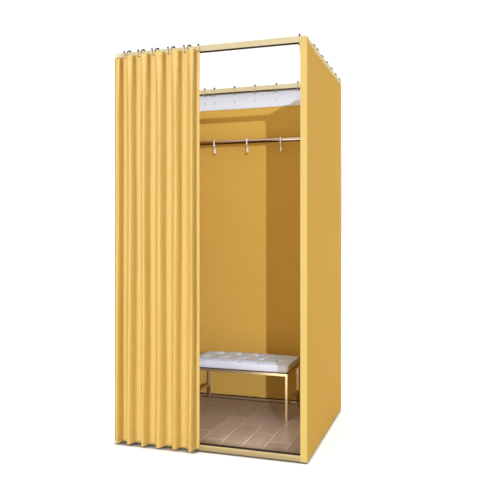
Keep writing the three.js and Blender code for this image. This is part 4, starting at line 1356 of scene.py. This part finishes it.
class FITTING_OT_curtain_rings(bpy.types.Operator):
    """Threads the rings over the rails and sets an eyelet where each passes the cloth"""
    bl_idname = "fitting.curtain_rings"
    bl_label = "Curtain rings"

    eyelet_line = CLOTH_MIDDLE - 0.0006

    def execute(self, context):
        self.radius = settings().metal.ring_radius
        ring, eyelet = ring_model(), eyelet_model()
        for number in range(1, 12):
            self.drawn(ring, eyelet, number)
        for name, side in reversed(BOTH_SIDES):
            for number, y in enumerate(SIDE_RINGS, 1):
                self.fixed(ring, eyelet, name, number,
                           (side * TUBE_LINE, y), (side * self.eyelet_line, y), math.pi / 2)
        placed(ring, "right_return_ring", "bronze",
               (RETURN_RING, -TUBE_LINE, TWISTED_RING_HEIGHT), RING_TWIST, "cabin")
        for number, x in enumerate(BACK_RINGS, 1):
            self.fixed(ring, eyelet, "back", number, (x, TUBE_LINE), (x, self.eyelet_line), 0.0)
        bpy.data.objects.remove(ring)
        bpy.data.objects.remove(eyelet)
        return {"FINISHED"}

    def drawn(self, ring, eyelet, number):
        """A ring of the front curtain where its packed one is, twisted to and fro in turn."""
        node = f"curtain_ring_{number:02d}"
        low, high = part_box(node)
        centre = (low + high) / 2
        turn = -RING_TWIST if number % 2 == 0 else RING_TWIST
        body = "lead_ring" if number == 11 else f"ring_{number:02d}"
        placed(ring, f"drawn_ring_{number:02d}", "bronze", centre, turn, body, node)
        along = (centre.y - FRONT_CLOTH) / math.cos(turn)
        at = (centre.x + along * math.sin(turn), FRONT_CLOTH,
              centre.z - crossing(along, self.radius))
        placed(eyelet, f"drawn_eyelet_{number:02d}", "eyelet", at, 0.0, body)

    def fixed(self, ring, eyelet, name, number, over, through, turn):
        """A ring over a rail and its eyelet, where a flat curtain hangs."""
        height = FLAT_RING_HEIGHT - crossing(CLOTH_MIDDLE - TUBE_LINE, self.radius)
        placed(ring, f"{name}_ring_{number}", "bronze", (*over, FLAT_RING_HEIGHT), turn, "cabin")
        placed(eyelet, f"{name}_eyelet_{number}", "eyelet", (*through, height), turn, "cabin")


# Frame

class FITTING_OT_frame_tubes(bpy.types.Operator):
    """Finishes the posts and rails, with dark strips of painted shade under the top rails and on
    the base rails, and painted contact shadow at the floor inside
    """
    bl_idname = "fitting.frame_tubes"
    bl_label = "Frame tubes"

    strip_thick = 0.0007
    strip_half_width = 0.0140
    levels = (("base", 0.034, 1), ("top", 1.970, -1))
    sides = (("front", 0, -1), ("back", 0, 1), ("left", -1, 0), ("right", 1, 0))
    foot_shadow_height = 0.004

    def execute(self, context):
        for node in sorted(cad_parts):
            if node.startswith(("post_", "rail_base_", "rail_top_")):
                finished(node, f"tube_{node}", self.finish(node), "cabin", "frame_gold", degrees=40)
        self.strips()
        self.foot_shadow_strips()
        return {"FINISHED"}

    @staticmethod
    def finish(node):
        """The front base rail is a deeper gold with painted shade towards the ground; the ones
        inside are a browner gold painted as their shade and a reflection of the brown floor.
        """
        if "base" not in node:
            return "gold"
        return "deep gold" if node.endswith("front") else "shaded gold"

    def strips(self):
        """Dark strips of painted shade under the top rails and on the base rails."""
        reach = RAIL_ENDS - 0.001
        for level, z, up in self.levels:
            for name, x, y in self.sides:
                middle = Vector((x * TUBE_LINE, y * TUBE_LINE, z))
                half = Vector((reach, self.strip_half_width, 0))
                if x:
                    half = half.yxz
                low, high = middle - half, middle + half
                low.z, high.z = sorted((z, z + up * self.strip_thick))
                self.strip(low, high, f"edge_strip_{level}_{name}")

    def foot_shadow_strips(self):
        """Dark strips at the foot of the base rails' inner faces, along the floor, as painted
        contact shadow.
        """
        inside = TUBE_LINE - TUBE / 2
        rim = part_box("floor_board")[1].z
        top, face = rim + self.foot_shadow_height, inside - self.strip_thick
        for name, side in BOTH_SIDES:
            left, right = sorted((side * inside, side * face))
            self.strip((left, -inside, rim), (right, face, top), f"floor_seal_{name}")
        self.strip((-inside, face, rim), (inside, inside, top), "floor_seal_back")

    # A thin near-black strip laid along a rail as painted shade
    @staticmethod
    def strip(low, high, name):
        piece = smooth(box_piece(low, high, 0.0002), 40)
        settle(piece, name, material("shade strip"))
        carried(piece, "cabin", "sleeve_brown")


class FITTING_OT_connectors(bpy.types.Operator):
    """Finishes the corner connectors and the glides under them"""
    bl_idname = "fitting.connectors"
    bl_label = "Connectors and glides"

    def execute(self, context):
        for node in sorted(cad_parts):
            if node.startswith("corner_"):
                finished(node, f"plug_{node}", "gold connector", "cabin", "corner_gold")
            elif node.startswith("glide_"):
                finished(node, f"foot_{node}", "rubber", "cabin", "glide_rubber", 0.0003)
        return {"FINISHED"}


# Floor

class FITTING_OT_floor_board(bpy.types.Operator):
    """Lays the planks, each with its own tone, in a board with light joints"""
    bl_idname = "fitting.floor_board"
    bl_label = "Floor board"

    first_joint = 0.037
    least_width = 0.01
    recess = 0.0006
    starts = {
        -5: 0.190, -4: 0.060, -3: 0.360, -2: 0.230, -1: 0.100,
        0: -0.030, 1: -0.157, 2: -0.289, 3: -0.420, 4: -0.120,
    }

    def execute(self, context):
        low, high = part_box("floor_board")
        board = box_piece(low, (high.x, high.y, high.z - self.recess), 0.0008)
        settle(smooth(board, 40), "floor_underboard", material("joints"))
        carried(board, "cabin", "floor_planks")
        random.seed(7)
        planks, tones = [], []
        for corners in self.plank_places(low, high):
            plank = box_piece(*corners, 0.0004)
            planks.append(plank)
            tones += [random.random()] * len(plank.data.vertices)
        floor = joined(planks)
        attribute = floor.data.attributes.new("plank_tone", "FLOAT", "POINT")
        attribute.data.foreach_set("value", tones)
        settle(weighted(smooth(floor, 40)), "floor_planks_laid", material("planks"))
        carried(floor, "cabin", "floor_planks", "floor_board")
        return {"FINISHED"}

    def plank_places(self, low, high):
        """Low and high corner of each plank, row by row, cut off at the board's edges."""
        look = settings().floor
        half_gap = look.gap / 2
        foot = high.z - self.recess - 0.0002
        for column, first in self.starts.items():
            left = max(low.x, self.first_joint + look.width * column + half_gap)
            right = min(high.x, self.first_joint + look.width * (column + 1) - half_gap)
            if right - left < self.least_width:
                continue
            start = first - 5 * look.length
            while start < high.y:
                front = max(low.y, start + half_gap)
                back = min(high.y, start + look.length - half_gap)
                if back - front > self.least_width:
                    yield (left, front, foot), (right, back, high.z)
                start += look.length


# Hanging rail and hooks

class FITTING_OT_hanging_rail(bpy.types.Operator):
    """Fits the round hanging rail in its brackets, with their screws"""
    bl_idname = "fitting.hanging_rail"
    bl_label = "Hanging rail"

    screw_reach = 0.023
    plate_face = 0.4697 - 0.0026
    head_radius, head_height = 0.0042, 0.0019
    slot_half, slot_half_width = 0.0026, 0.0006
    slot_floor, slot_past = 0.0012, 0.0021

    def execute(self, context):
        start = HANG_LINE - Vector((HANG_END, 0, 0))
        end = HANG_LINE + Vector((HANG_END, 0, 0))
        rail = smooth(round_bar(HANG_RADIUS, start, end, 56, 0.0006), 40)
        settle(rail, "hanging_tube", material("copper"))
        carried(rail, "cabin", "rail_copper", "hanging_rail")
        for name, side in BOTH_SIDES:
            node = f"rail_bracket_{name}"
            finished(node, f"cup_{node}", "gold", "cabin", "frame_gold", 0.0005, 40)
            screws = joined([self.screw_head(side * TUBE_LINE, HANG_LINE.z + z)
                             for z in (-self.screw_reach, self.screw_reach)])
            settle(screws, f"bracket_screws_{name}", material("screw"))
            carried(screws, "cabin", "frame_gold")
        return {"FINISHED"}

    def screw_head(self, x, z):
        """A pan head with a cross slot, seated on the plate."""
        face = self.plate_face
        top = face - self.head_height
        head = round_bar(self.head_radius, (x, face, z), (x, top, z), 24, 0.0008)
        pick(head)
        bpy.ops.object.transform_apply(location=True, rotation=True, scale=True)
        slot = (self.slot_half, self.slot_half_width)
        for wide, high in (slot, slot[::-1]):
            cutter = box_piece((x - wide, face - self.slot_past, z - high),
                               (x + wide, face - self.slot_floor, z + high))
            apply_modifier(head, "BOOLEAN", operation="DIFFERENCE", object=cutter, solver="EXACT")
            bpy.data.objects.remove(cutter)
        return smooth(head, 40)


class FITTING_OT_hooks(bpy.types.Operator):
    """Finishes the strip hooks and the bushes they turn on"""
    bl_idname = "fitting.hooks"
    bl_label = "Hooks"

    def execute(self, context):
        for number in range(1, HOOK_COUNT + 1):
            finished(f"hook_{number}", f"strip_hook_{number}", "cream",
                     f"hanger_hook_{number}", "hook_cream", 0.0005, 40)
            finished(f"hook_sleeve_{number}", f"hook_bush_{number}", "bush",
                     f"sleeve_{number}", "sleeve_brown", 0.0002, 40)
        return {"FINISHED"}


# Bench

class FITTING_OT_bench_frame(bpy.types.Operator):
    """Finishes the bench's tube frame and the board on it"""
    bl_idname = "fitting.bench_frame"
    bl_label = "Bench frame"

    def execute(self, context):
        finished("bench_frame", "bench_tubes", "champagne", "bench", "bench_gold")
        finished("bench_board", "bench_plywood", "board", "bench", "board_brown", 0.0004)
        return {"FINISHED"}


class CushionForm:
    """Shape of the bench cushion, from its CAD box."""

    overhang_corner = 0.024
    draw_in = 0.004
    edge_height = 0.041
    crown = 0.008
    corner_droop = 0.005
    seam_foot = edge_height - corner_droop - 0.001
    tuft_reach = 0.017
    fold_reach, fold_depth, longest_fold = 0.0075, 0.0058, 0.15
    overlap = 0.003
    tuft_rows = ((0.3, (0.12, 0.31, 0.5, 0.69, 0.88)), (0.7, (0.215, 0.405, 0.595, 0.785)))
    width, depth = 0.586, 0.304

    def __init__(self):
        low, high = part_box("bench_cushion")
        self.middle = Vector(((low.x + high.x) / 2, (low.y + high.y) / 2, low.z))
        self.half = Vector((self.width / 2 + self.overlap, self.depth / 2 + self.overlap))
        self.tufts = [Vector(((column - 0.5) * self.width, (row - 0.5) * self.depth))
                      for row, columns in self.tuft_rows for column in columns]
        self.creases = self.crease_lines()

    def crease_lines(self):
        """Folds between neighbouring tufts, and from the outer tufts to the edge."""
        front = [t for t in self.tufts if t.y < 0]
        back = [t for t in self.tufts if t.y > 0]
        lines = [(a, b) for a in front for b in back if (a - b).length < self.longest_fold]
        for row, side, slant in ((front, -1, 0.03), (back, 1, 0.0)):
            lines += [(tuft, Vector((tuft.x, side * self.half.y))) for tuft in row]
            lines.append((row[0], Vector((-self.half.x, row[0].y + slant))))
            lines.append((row[-1], Vector((self.half.x, row[-1].y + slant))))
        return lines

    def plan(self, u, v):
        """Plan of the cushion from a unit square: round corners, sides pulled in between them."""
        reach = max(abs(u), abs(v))
        inner = [reach * (half - self.overhang_corner) for half in self.half]
        x, y = abs(u) * self.half.x, abs(v) * self.half.y
        over = Vector((x - inner[0], y - inner[1]))
        if over.x > 0 and over.y > 0:
            pull = max(over) / over.length
            x, y = inner[0] + over.x * pull, inner[1] + over.y * pull
        x -= self.draw_in * (1 - v * v) * abs(u) ** 3
        y -= self.draw_in * (1 - u * u) * abs(v) ** 3
        return Vector((math.copysign(x, u), math.copysign(y, v)))

    def edge(self, u, v):
        """Height of the top seam, lower towards the corners."""
        return self.edge_height - self.corner_droop * abs(u * v) ** 6

    def crown_height(self, u, v):
        return self.edge(u, v) + self.crown * (1 - u ** 4) * (1 - v ** 4)

    def dip(self, point, depth):
        """How far the buttons and the folds between them pull the cover in."""
        total = 0.0
        for tuft in self.tufts:
            total += depth * math.exp(-(((point - tuft).length / self.tuft_reach) ** 2))
        fold = 0.0
        for start, end in self.creases:
            run = end - start
            share = min(1.0, max(0.0, (point - start).dot(run) / run.length_squared))
            away = (point - start - run * share).length
            strength = 0.55 + 0.45 * abs(2 * share - 1)
            fold = max(fold, math.exp(-((away / self.fold_reach) ** 2)) * strength)
        return total + self.fold_depth * fold


class FITTING_OT_bench_cushion(bpy.types.Operator):
    """Stuffs and buttons the bench cushion, with a piped seam round its top"""
    bl_idname = "fitting.bench_cushion"
    bl_label = "Bench cushion"

    columns, rows = 150, 80
    side_profile = (
        (0.915, 0.0016), (0.805, 0.0034), (0.634, 0.0045), (0.44, 0.0047),
        (0.244, 0.0040), (0.098, 0.0024), (0.0, 0.0),
    )
    most_rise = 0.009
    piping_steps = 40
    button_radius = 0.0075

    def execute(self, context):
        form = CushionForm()
        body = self.cover(form)
        self.swell(body, form)
        self.button_in(body, form)
        smooth(body, 60)
        settle(body, "cushion_cover", material("leather"))
        carried(body, "bench", "cushion_grey", "bench_cushion")
        piping = self.piping(form)
        carried(piping, "bench", "cushion_grey")
        buttons = self.buttons(body, form)
        carried(buttons, "bench", "cushion_grey")
        return {"FINISHED"}

    def cover(self, form):
        """Closed cover: crowned top, sides that swell between two seams, flat underside."""
        points, faces = [], []
        columns, rows = self.columns, self.rows

        def at(column, row):
            return row * (columns + 1) + column

        for row in range(rows + 1):
            for column in range(columns + 1):
                u, v = 2 * column / columns - 1, 2 * row / rows - 1
                place = form.plan(u, v)
                points.append((place.x, place.y, form.crown_height(u, v)))
                if column < columns and row < rows:
                    faces.append((at(column, row), at(column + 1, row),
                                  at(column + 1, row + 1), at(column, row + 1)))
        rim = [at(column, 0) for column in range(columns)]
        rim += [at(columns, row) for row in range(rows)]
        rim += [at(column, rows) for column in range(columns, 0, -1)]
        rim += [at(0, row) for row in range(rows, 0, -1)]
        upper = rim
        for share, bulge in self.side_profile:
            wider, deeper = 1 + 2 * bulge / form.width, 1 + 2 * bulge / form.depth
            start = len(points)
            for corner in rim:
                x, y, z = points[corner]
                points.append((x * wider, y * deeper, z * share))
            lower = list(range(start, start + len(rim)))
            for step, corner in enumerate(upper):
                following = (step + 1) % len(rim)
                faces.append((lower[step], lower[following], upper[following], corner))
            upper = lower
        faces.append(tuple(reversed(upper)))
        obj = mesh_object("cushion_cover", points, faces)
        obj.location = form.middle
        return obj

    def swell(self, obj, form):
        """Lets the stuffing press the top up between the buttons, as cloth under pressure."""
        voxel, pin_reach, frames = 0.006, 0.010, 18
        trial = copy_of(obj, "cushion_trial")
        trial.location = (0, 0, 0)
        apply_modifier(trial, "REMESH", mode="VOXEL", voxel_size=voxel)
        held = trial.vertex_groups.new(name="held")
        rest = [vertex.co.copy() for vertex in trial.data.vertices]
        for index, point in enumerate(rest):
            to_tuft = min((point.xy - tuft).length for tuft in form.tufts)
            pinned = math.exp(-((to_tuft / pin_reach) ** 2))
            if point.z < form.seam_foot - 0.001:
                pinned = 1.0
            if pinned > 0.02:
                held.add([index], min(1.0, pinned), "REPLACE")
        cloth = trial.modifiers.new("Cloth", "CLOTH")
        values = {
            "quality": 5, "mass": 0.4, "tension_stiffness": 25, "compression_stiffness": 25,
            "bending_stiffness": 1.2, "use_pressure": True, "uniform_pressure_force": 3.0,
            "vertex_group_mass": "held", "pin_stiffness": 1.0,
        }
        for key, value in values.items():
            setattr(cloth.settings, key, value)
        cloth.settings.effector_weights.gravity = 0.0
        cloth.collision_settings.use_collision = False
        cloth.collision_settings.use_self_collision = False
        scene = bpy.context.scene
        for number in range(1, frames + 1):
            scene.frame_set(number)
        pick(trial)
        bpy.ops.object.modifier_apply(modifier=cloth.name)
        scene.frame_set(1)
        moved = [vertex.co.copy() for vertex in trial.data.vertices]
        self.lift_from(obj, form, rest, moved)
        bpy.data.objects.remove(trial)

    def lift_from(self, obj, form, rest, moved):
        """Carries the simulated rise over to the fine cover, up to a limit."""
        tree = KDTree(len(rest))
        for index, point in enumerate(rest):
            tree.insert(point, index)
        tree.balance()
        for vertex in obj.data.vertices:
            if vertex.co.z < form.seam_foot:
                continue
            total, weight = 0.0, 0.0
            for _, index, distance in tree.find_n(vertex.co, 6):
                share = 1 / (distance + 0.001)
                total += (moved[index].z - rest[index].z) * share
                weight += share
            vertex.co.z += max(-self.most_rise, min(self.most_rise, total / weight))

    @staticmethod
    def button_in(obj, form):
        """Pulls the cover in at the buttons, less and less towards the seam."""
        depth, fade = settings().bench.tuft_depth, 0.02
        for vertex in obj.data.vertices:
            point = vertex.co
            if point.z > form.seam_foot:
                from_edge = min(half - abs(at) for half, at in zip(form.half, point.xy))
                point.z -= form.dip(point.xy, depth) * min(1.0, max(0.0, from_edge / fade))
        obj.data.update()

    def piping(self, form):
        """Round cord under the cover, along the top seam."""
        radius = settings().bench.piping
        curve = bpy.data.curves.new("cushion_piping", "CURVE")
        curve.dimensions = "3D"
        curve.bevel_depth = radius
        curve.bevel_resolution = 3
        line = curve.splines.new("POLY")
        places = []
        corners = ((-1, -1), (1, -1), (1, 1), (-1, 1))
        for start, end in zip(corners, corners[1:] + corners[:1]):
            for step in range(self.piping_steps):
                share = step / self.piping_steps
                u = start[0] + (end[0] - start[0]) * share
                v = start[1] + (end[1] - start[1]) * share
                flat = form.plan(u, v)
                place = Vector((flat.x, flat.y, form.edge(u, v) - 0.0008))
                if not places or (place - places[-1]).length > 0.001:
                    places.append(place)
        line.points.add(len(places) - 1)
        for point, place in zip(line.points, places):
            point.co = (*place, 1)
        line.use_cyclic_u = True
        obj = bpy.data.objects.new("cushion_piping", curve)
        bpy.context.scene.collection.objects.link(obj)
        obj.location = form.middle
        pick(obj)
        bpy.ops.object.convert(target="MESH")
        piping = bpy.context.object
        return settle(smooth(piping, 60), "cushion_piping", material("leather"))

    def buttons(self, body, form):
        """Covered buttons, each in the bottom of its tuft."""
        above_seam, under_button, seat = 0.03, 0.006, 0.0012
        pieces = []
        upper = [vertex.co.copy() for vertex in body.data.vertices
                 if vertex.co.z > form.middle.z + above_seam]
        for tuft in form.tufts:
            at = form.middle.xy + tuft
            height = min(point.z for point in upper if (point.xy - at).length < under_button)
            clear_selection()
            bpy.ops.mesh.primitive_uv_sphere_add(
                segments=20, ring_count=10, radius=self.button_radius,
                location=(*at, height + seat), scale=(1, 1, 0.42))
            pieces.append(bpy.context.object)
        return settle(smooth(joined(pieces), 60), "cushion_buttons", material("leather"))


# Stage

class FITTING_OT_stage(bpy.types.Operator):
    """Sets up the pale floor, the even light, the front lights and the light in the opening"""
    bl_idname = "fitting.stage"
    bl_label = "Studio"

    opening_lights = ((1.35, 0.45), (0.42, 0.55))
    opening_place = (0.14, -0.42)

    def execute(self, context):
        look = settings().studio
        clear_selection()
        bpy.ops.mesh.primitive_plane_add(size=60, location=(0, 0, -0.0005))
        floor = settle(bpy.context.object, "studio_floor", stage_material())
        floor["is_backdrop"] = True
        world = bpy.data.worlds.new("Studio")
        world.use_nodes = True
        self.sky(world.node_tree, look.sky)
        context.scene.world = world
        cloths = {name: [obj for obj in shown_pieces() if obj.name == f"{name}_curtain_cloth"]
                  for name in ("front", "right", "left")}
        pleats, near = cloths["front"], cloths["right"]
        sides = near + cloths["left"]
        others = [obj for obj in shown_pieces() if obj not in pleats + sides]
        cool, pleat_cool, strip_cool = (0.57, 0.68, 1.0), (0.50, 0.67, 1.0), (0.36, 0.62, 1.0)
        low = (look.key_turn, look.key_rise)
        high = (look.pleat_turn, look.key_rise * 2)
        self.sun("key_light", look.key, 0.35, *low, others, cool)
        self.sun("side_light", look.key * SIDE_SHARE, 0.35, *low, sides, cool)
        self.sun("pleat_light", look.pleat_key, 9.0, *high, pleats, pleat_cool)
        self.sun("strip_light", look.strip_key, 20.0, *high, near, strip_cool)
        for height, share in self.opening_lights:
            self.opening_light(look.inner * share, height)
        context.scene.view_settings.view_transform = "Standard"
        return {"FINISHED"}

    @staticmethod
    def sky(tree, strength):
        """White to the eye; as a light, brighter overhead than at the horizon."""
        horizon, overhead, white = 0.90, 1.30, (1.2, 1.2, 1.2, 1)
        direction = tree.nodes.new("ShaderNodeTexCoord").outputs["Generated"]
        seen = tree.nodes.new("ShaderNodeLightPath").outputs["Is Camera Ray"]
        light = grey(tree, spread(tree, split(tree, direction)[2], 0.0, 0.9, horizon, overhead))
        back = tree.nodes["Background"]
        wire(tree, blend_colour(tree, seen, light, white), back.inputs["Color"])
        back.inputs["Strength"].default_value = strength

    @staticmethod
    def sun(name, strength, spread_angle, side, rise, lit, colour):
        """A light from the front that falls on the given pieces only."""
        light = bpy.data.lights.new(name, "SUN")
        light.energy = strength
        light.angle = math.radians(spread_angle)
        light.color = colour
        lamp = bpy.data.objects.new(name, light)
        bpy.context.scene.collection.objects.link(lamp)
        towards = Vector((-math.sin(side) * math.cos(rise), math.cos(side) * math.cos(rise),
                          -math.sin(rise)))
        lamp.rotation_euler = towards.to_track_quat("-Z", "Y").to_euler()
        shown = bpy.data.collections.new(f"lit_by_{name}")
        for obj in lit:
            shown.objects.link(obj)
        lamp.light_linking.receiver_collection = shown

    def opening_light(self, power, height):
        """A soft panel in the open part of the front that lights the inside."""
        light = bpy.data.lights.new("opening_light", "AREA")
        light.shape = "RECTANGLE"
        light.size, light.size_y = 0.26, 0.70
        light.energy = power
        light.color = (1.0, 0.98, 0.92)
        lamp = bpy.data.objects.new("opening_light", light)
        lamp.location = (*self.opening_place, height)
        lamp.rotation_euler = (math.pi / 2, 0, 0)
        lamp.visible_camera = False
        bpy.context.scene.collection.objects.link(lamp)


class FITTING_OT_camera(bpy.types.Operator):
    """Sets the camera level, to the right of the open front"""
    bl_idname = "fitting.camera"
    bl_label = "Camera"

    def execute(self, context):
        data = bpy.data.cameras.new("view_camera")
        camera = bpy.data.objects.new("view_camera", data)
        context.scene.collection.objects.link(camera)
        camera.location = (1.14164, -3.56986, 1.08553)
        camera.rotation_euler = (math.pi / 2, 0, math.radians(19.0055))
        data.sensor_width = 36
        data.lens = 48.035
        data.shift_x = 0.05504
        data.shift_y = -0.03774
        data.clip_end = 200
        context.scene.camera = camera
        return {"FINISHED"}


STEPS = (
    FITTING_OT_camera, FITTING_OT_frame_tubes, FITTING_OT_connectors, FITTING_OT_floor_board,
    FITTING_OT_flat_curtains, FITTING_OT_header_tapes, FITTING_OT_front_curtain,
    FITTING_OT_curtain_rings, FITTING_OT_hanging_rail, FITTING_OT_hooks, FITTING_OT_bench_frame,
    FITTING_OT_bench_cushion, FITTING_OT_stage,
)


class FITTING_PT_panel(bpy.types.Panel):
    """Steps and settings of the fitting room"""
    bl_label = "Fitting Room"
    bl_space_type = "VIEW_3D"
    bl_region_type = "UI"
    bl_category = "Fitting Room"

    def draw(self, context):
        layout = self.layout
        for step in STEPS:
            layout.operator(step.bl_idname)
        room = context.scene.fitting_room
        for group in (room.cloth, room.metal, room.floor, room.bench, room.studio):
            box = layout.box()
            for key in group.__annotations__:
                box.prop(group, key)


CLASSES = (
    ClothSettings, MetalSettings, FloorSettings, BenchSettings, StudioSettings, RoomSettings,
    *STEPS, FITTING_PT_panel,
)


def register():
    for kind in CLASSES:
        bpy.utils.register_class(kind)
    bpy.types.Scene.fitting_room = bpy.props.PointerProperty(type=RoomSettings)


def unregister():
    del bpy.types.Scene.fitting_room
    for kind in reversed(CLASSES):
        bpy.utils.unregister_class(kind)


def main():
    register()
    for step in STEPS:
        family, action = step.bl_idname.split(".")
        getattr(getattr(bpy.ops, family), action)()


if __name__ == "__main__":
    main()
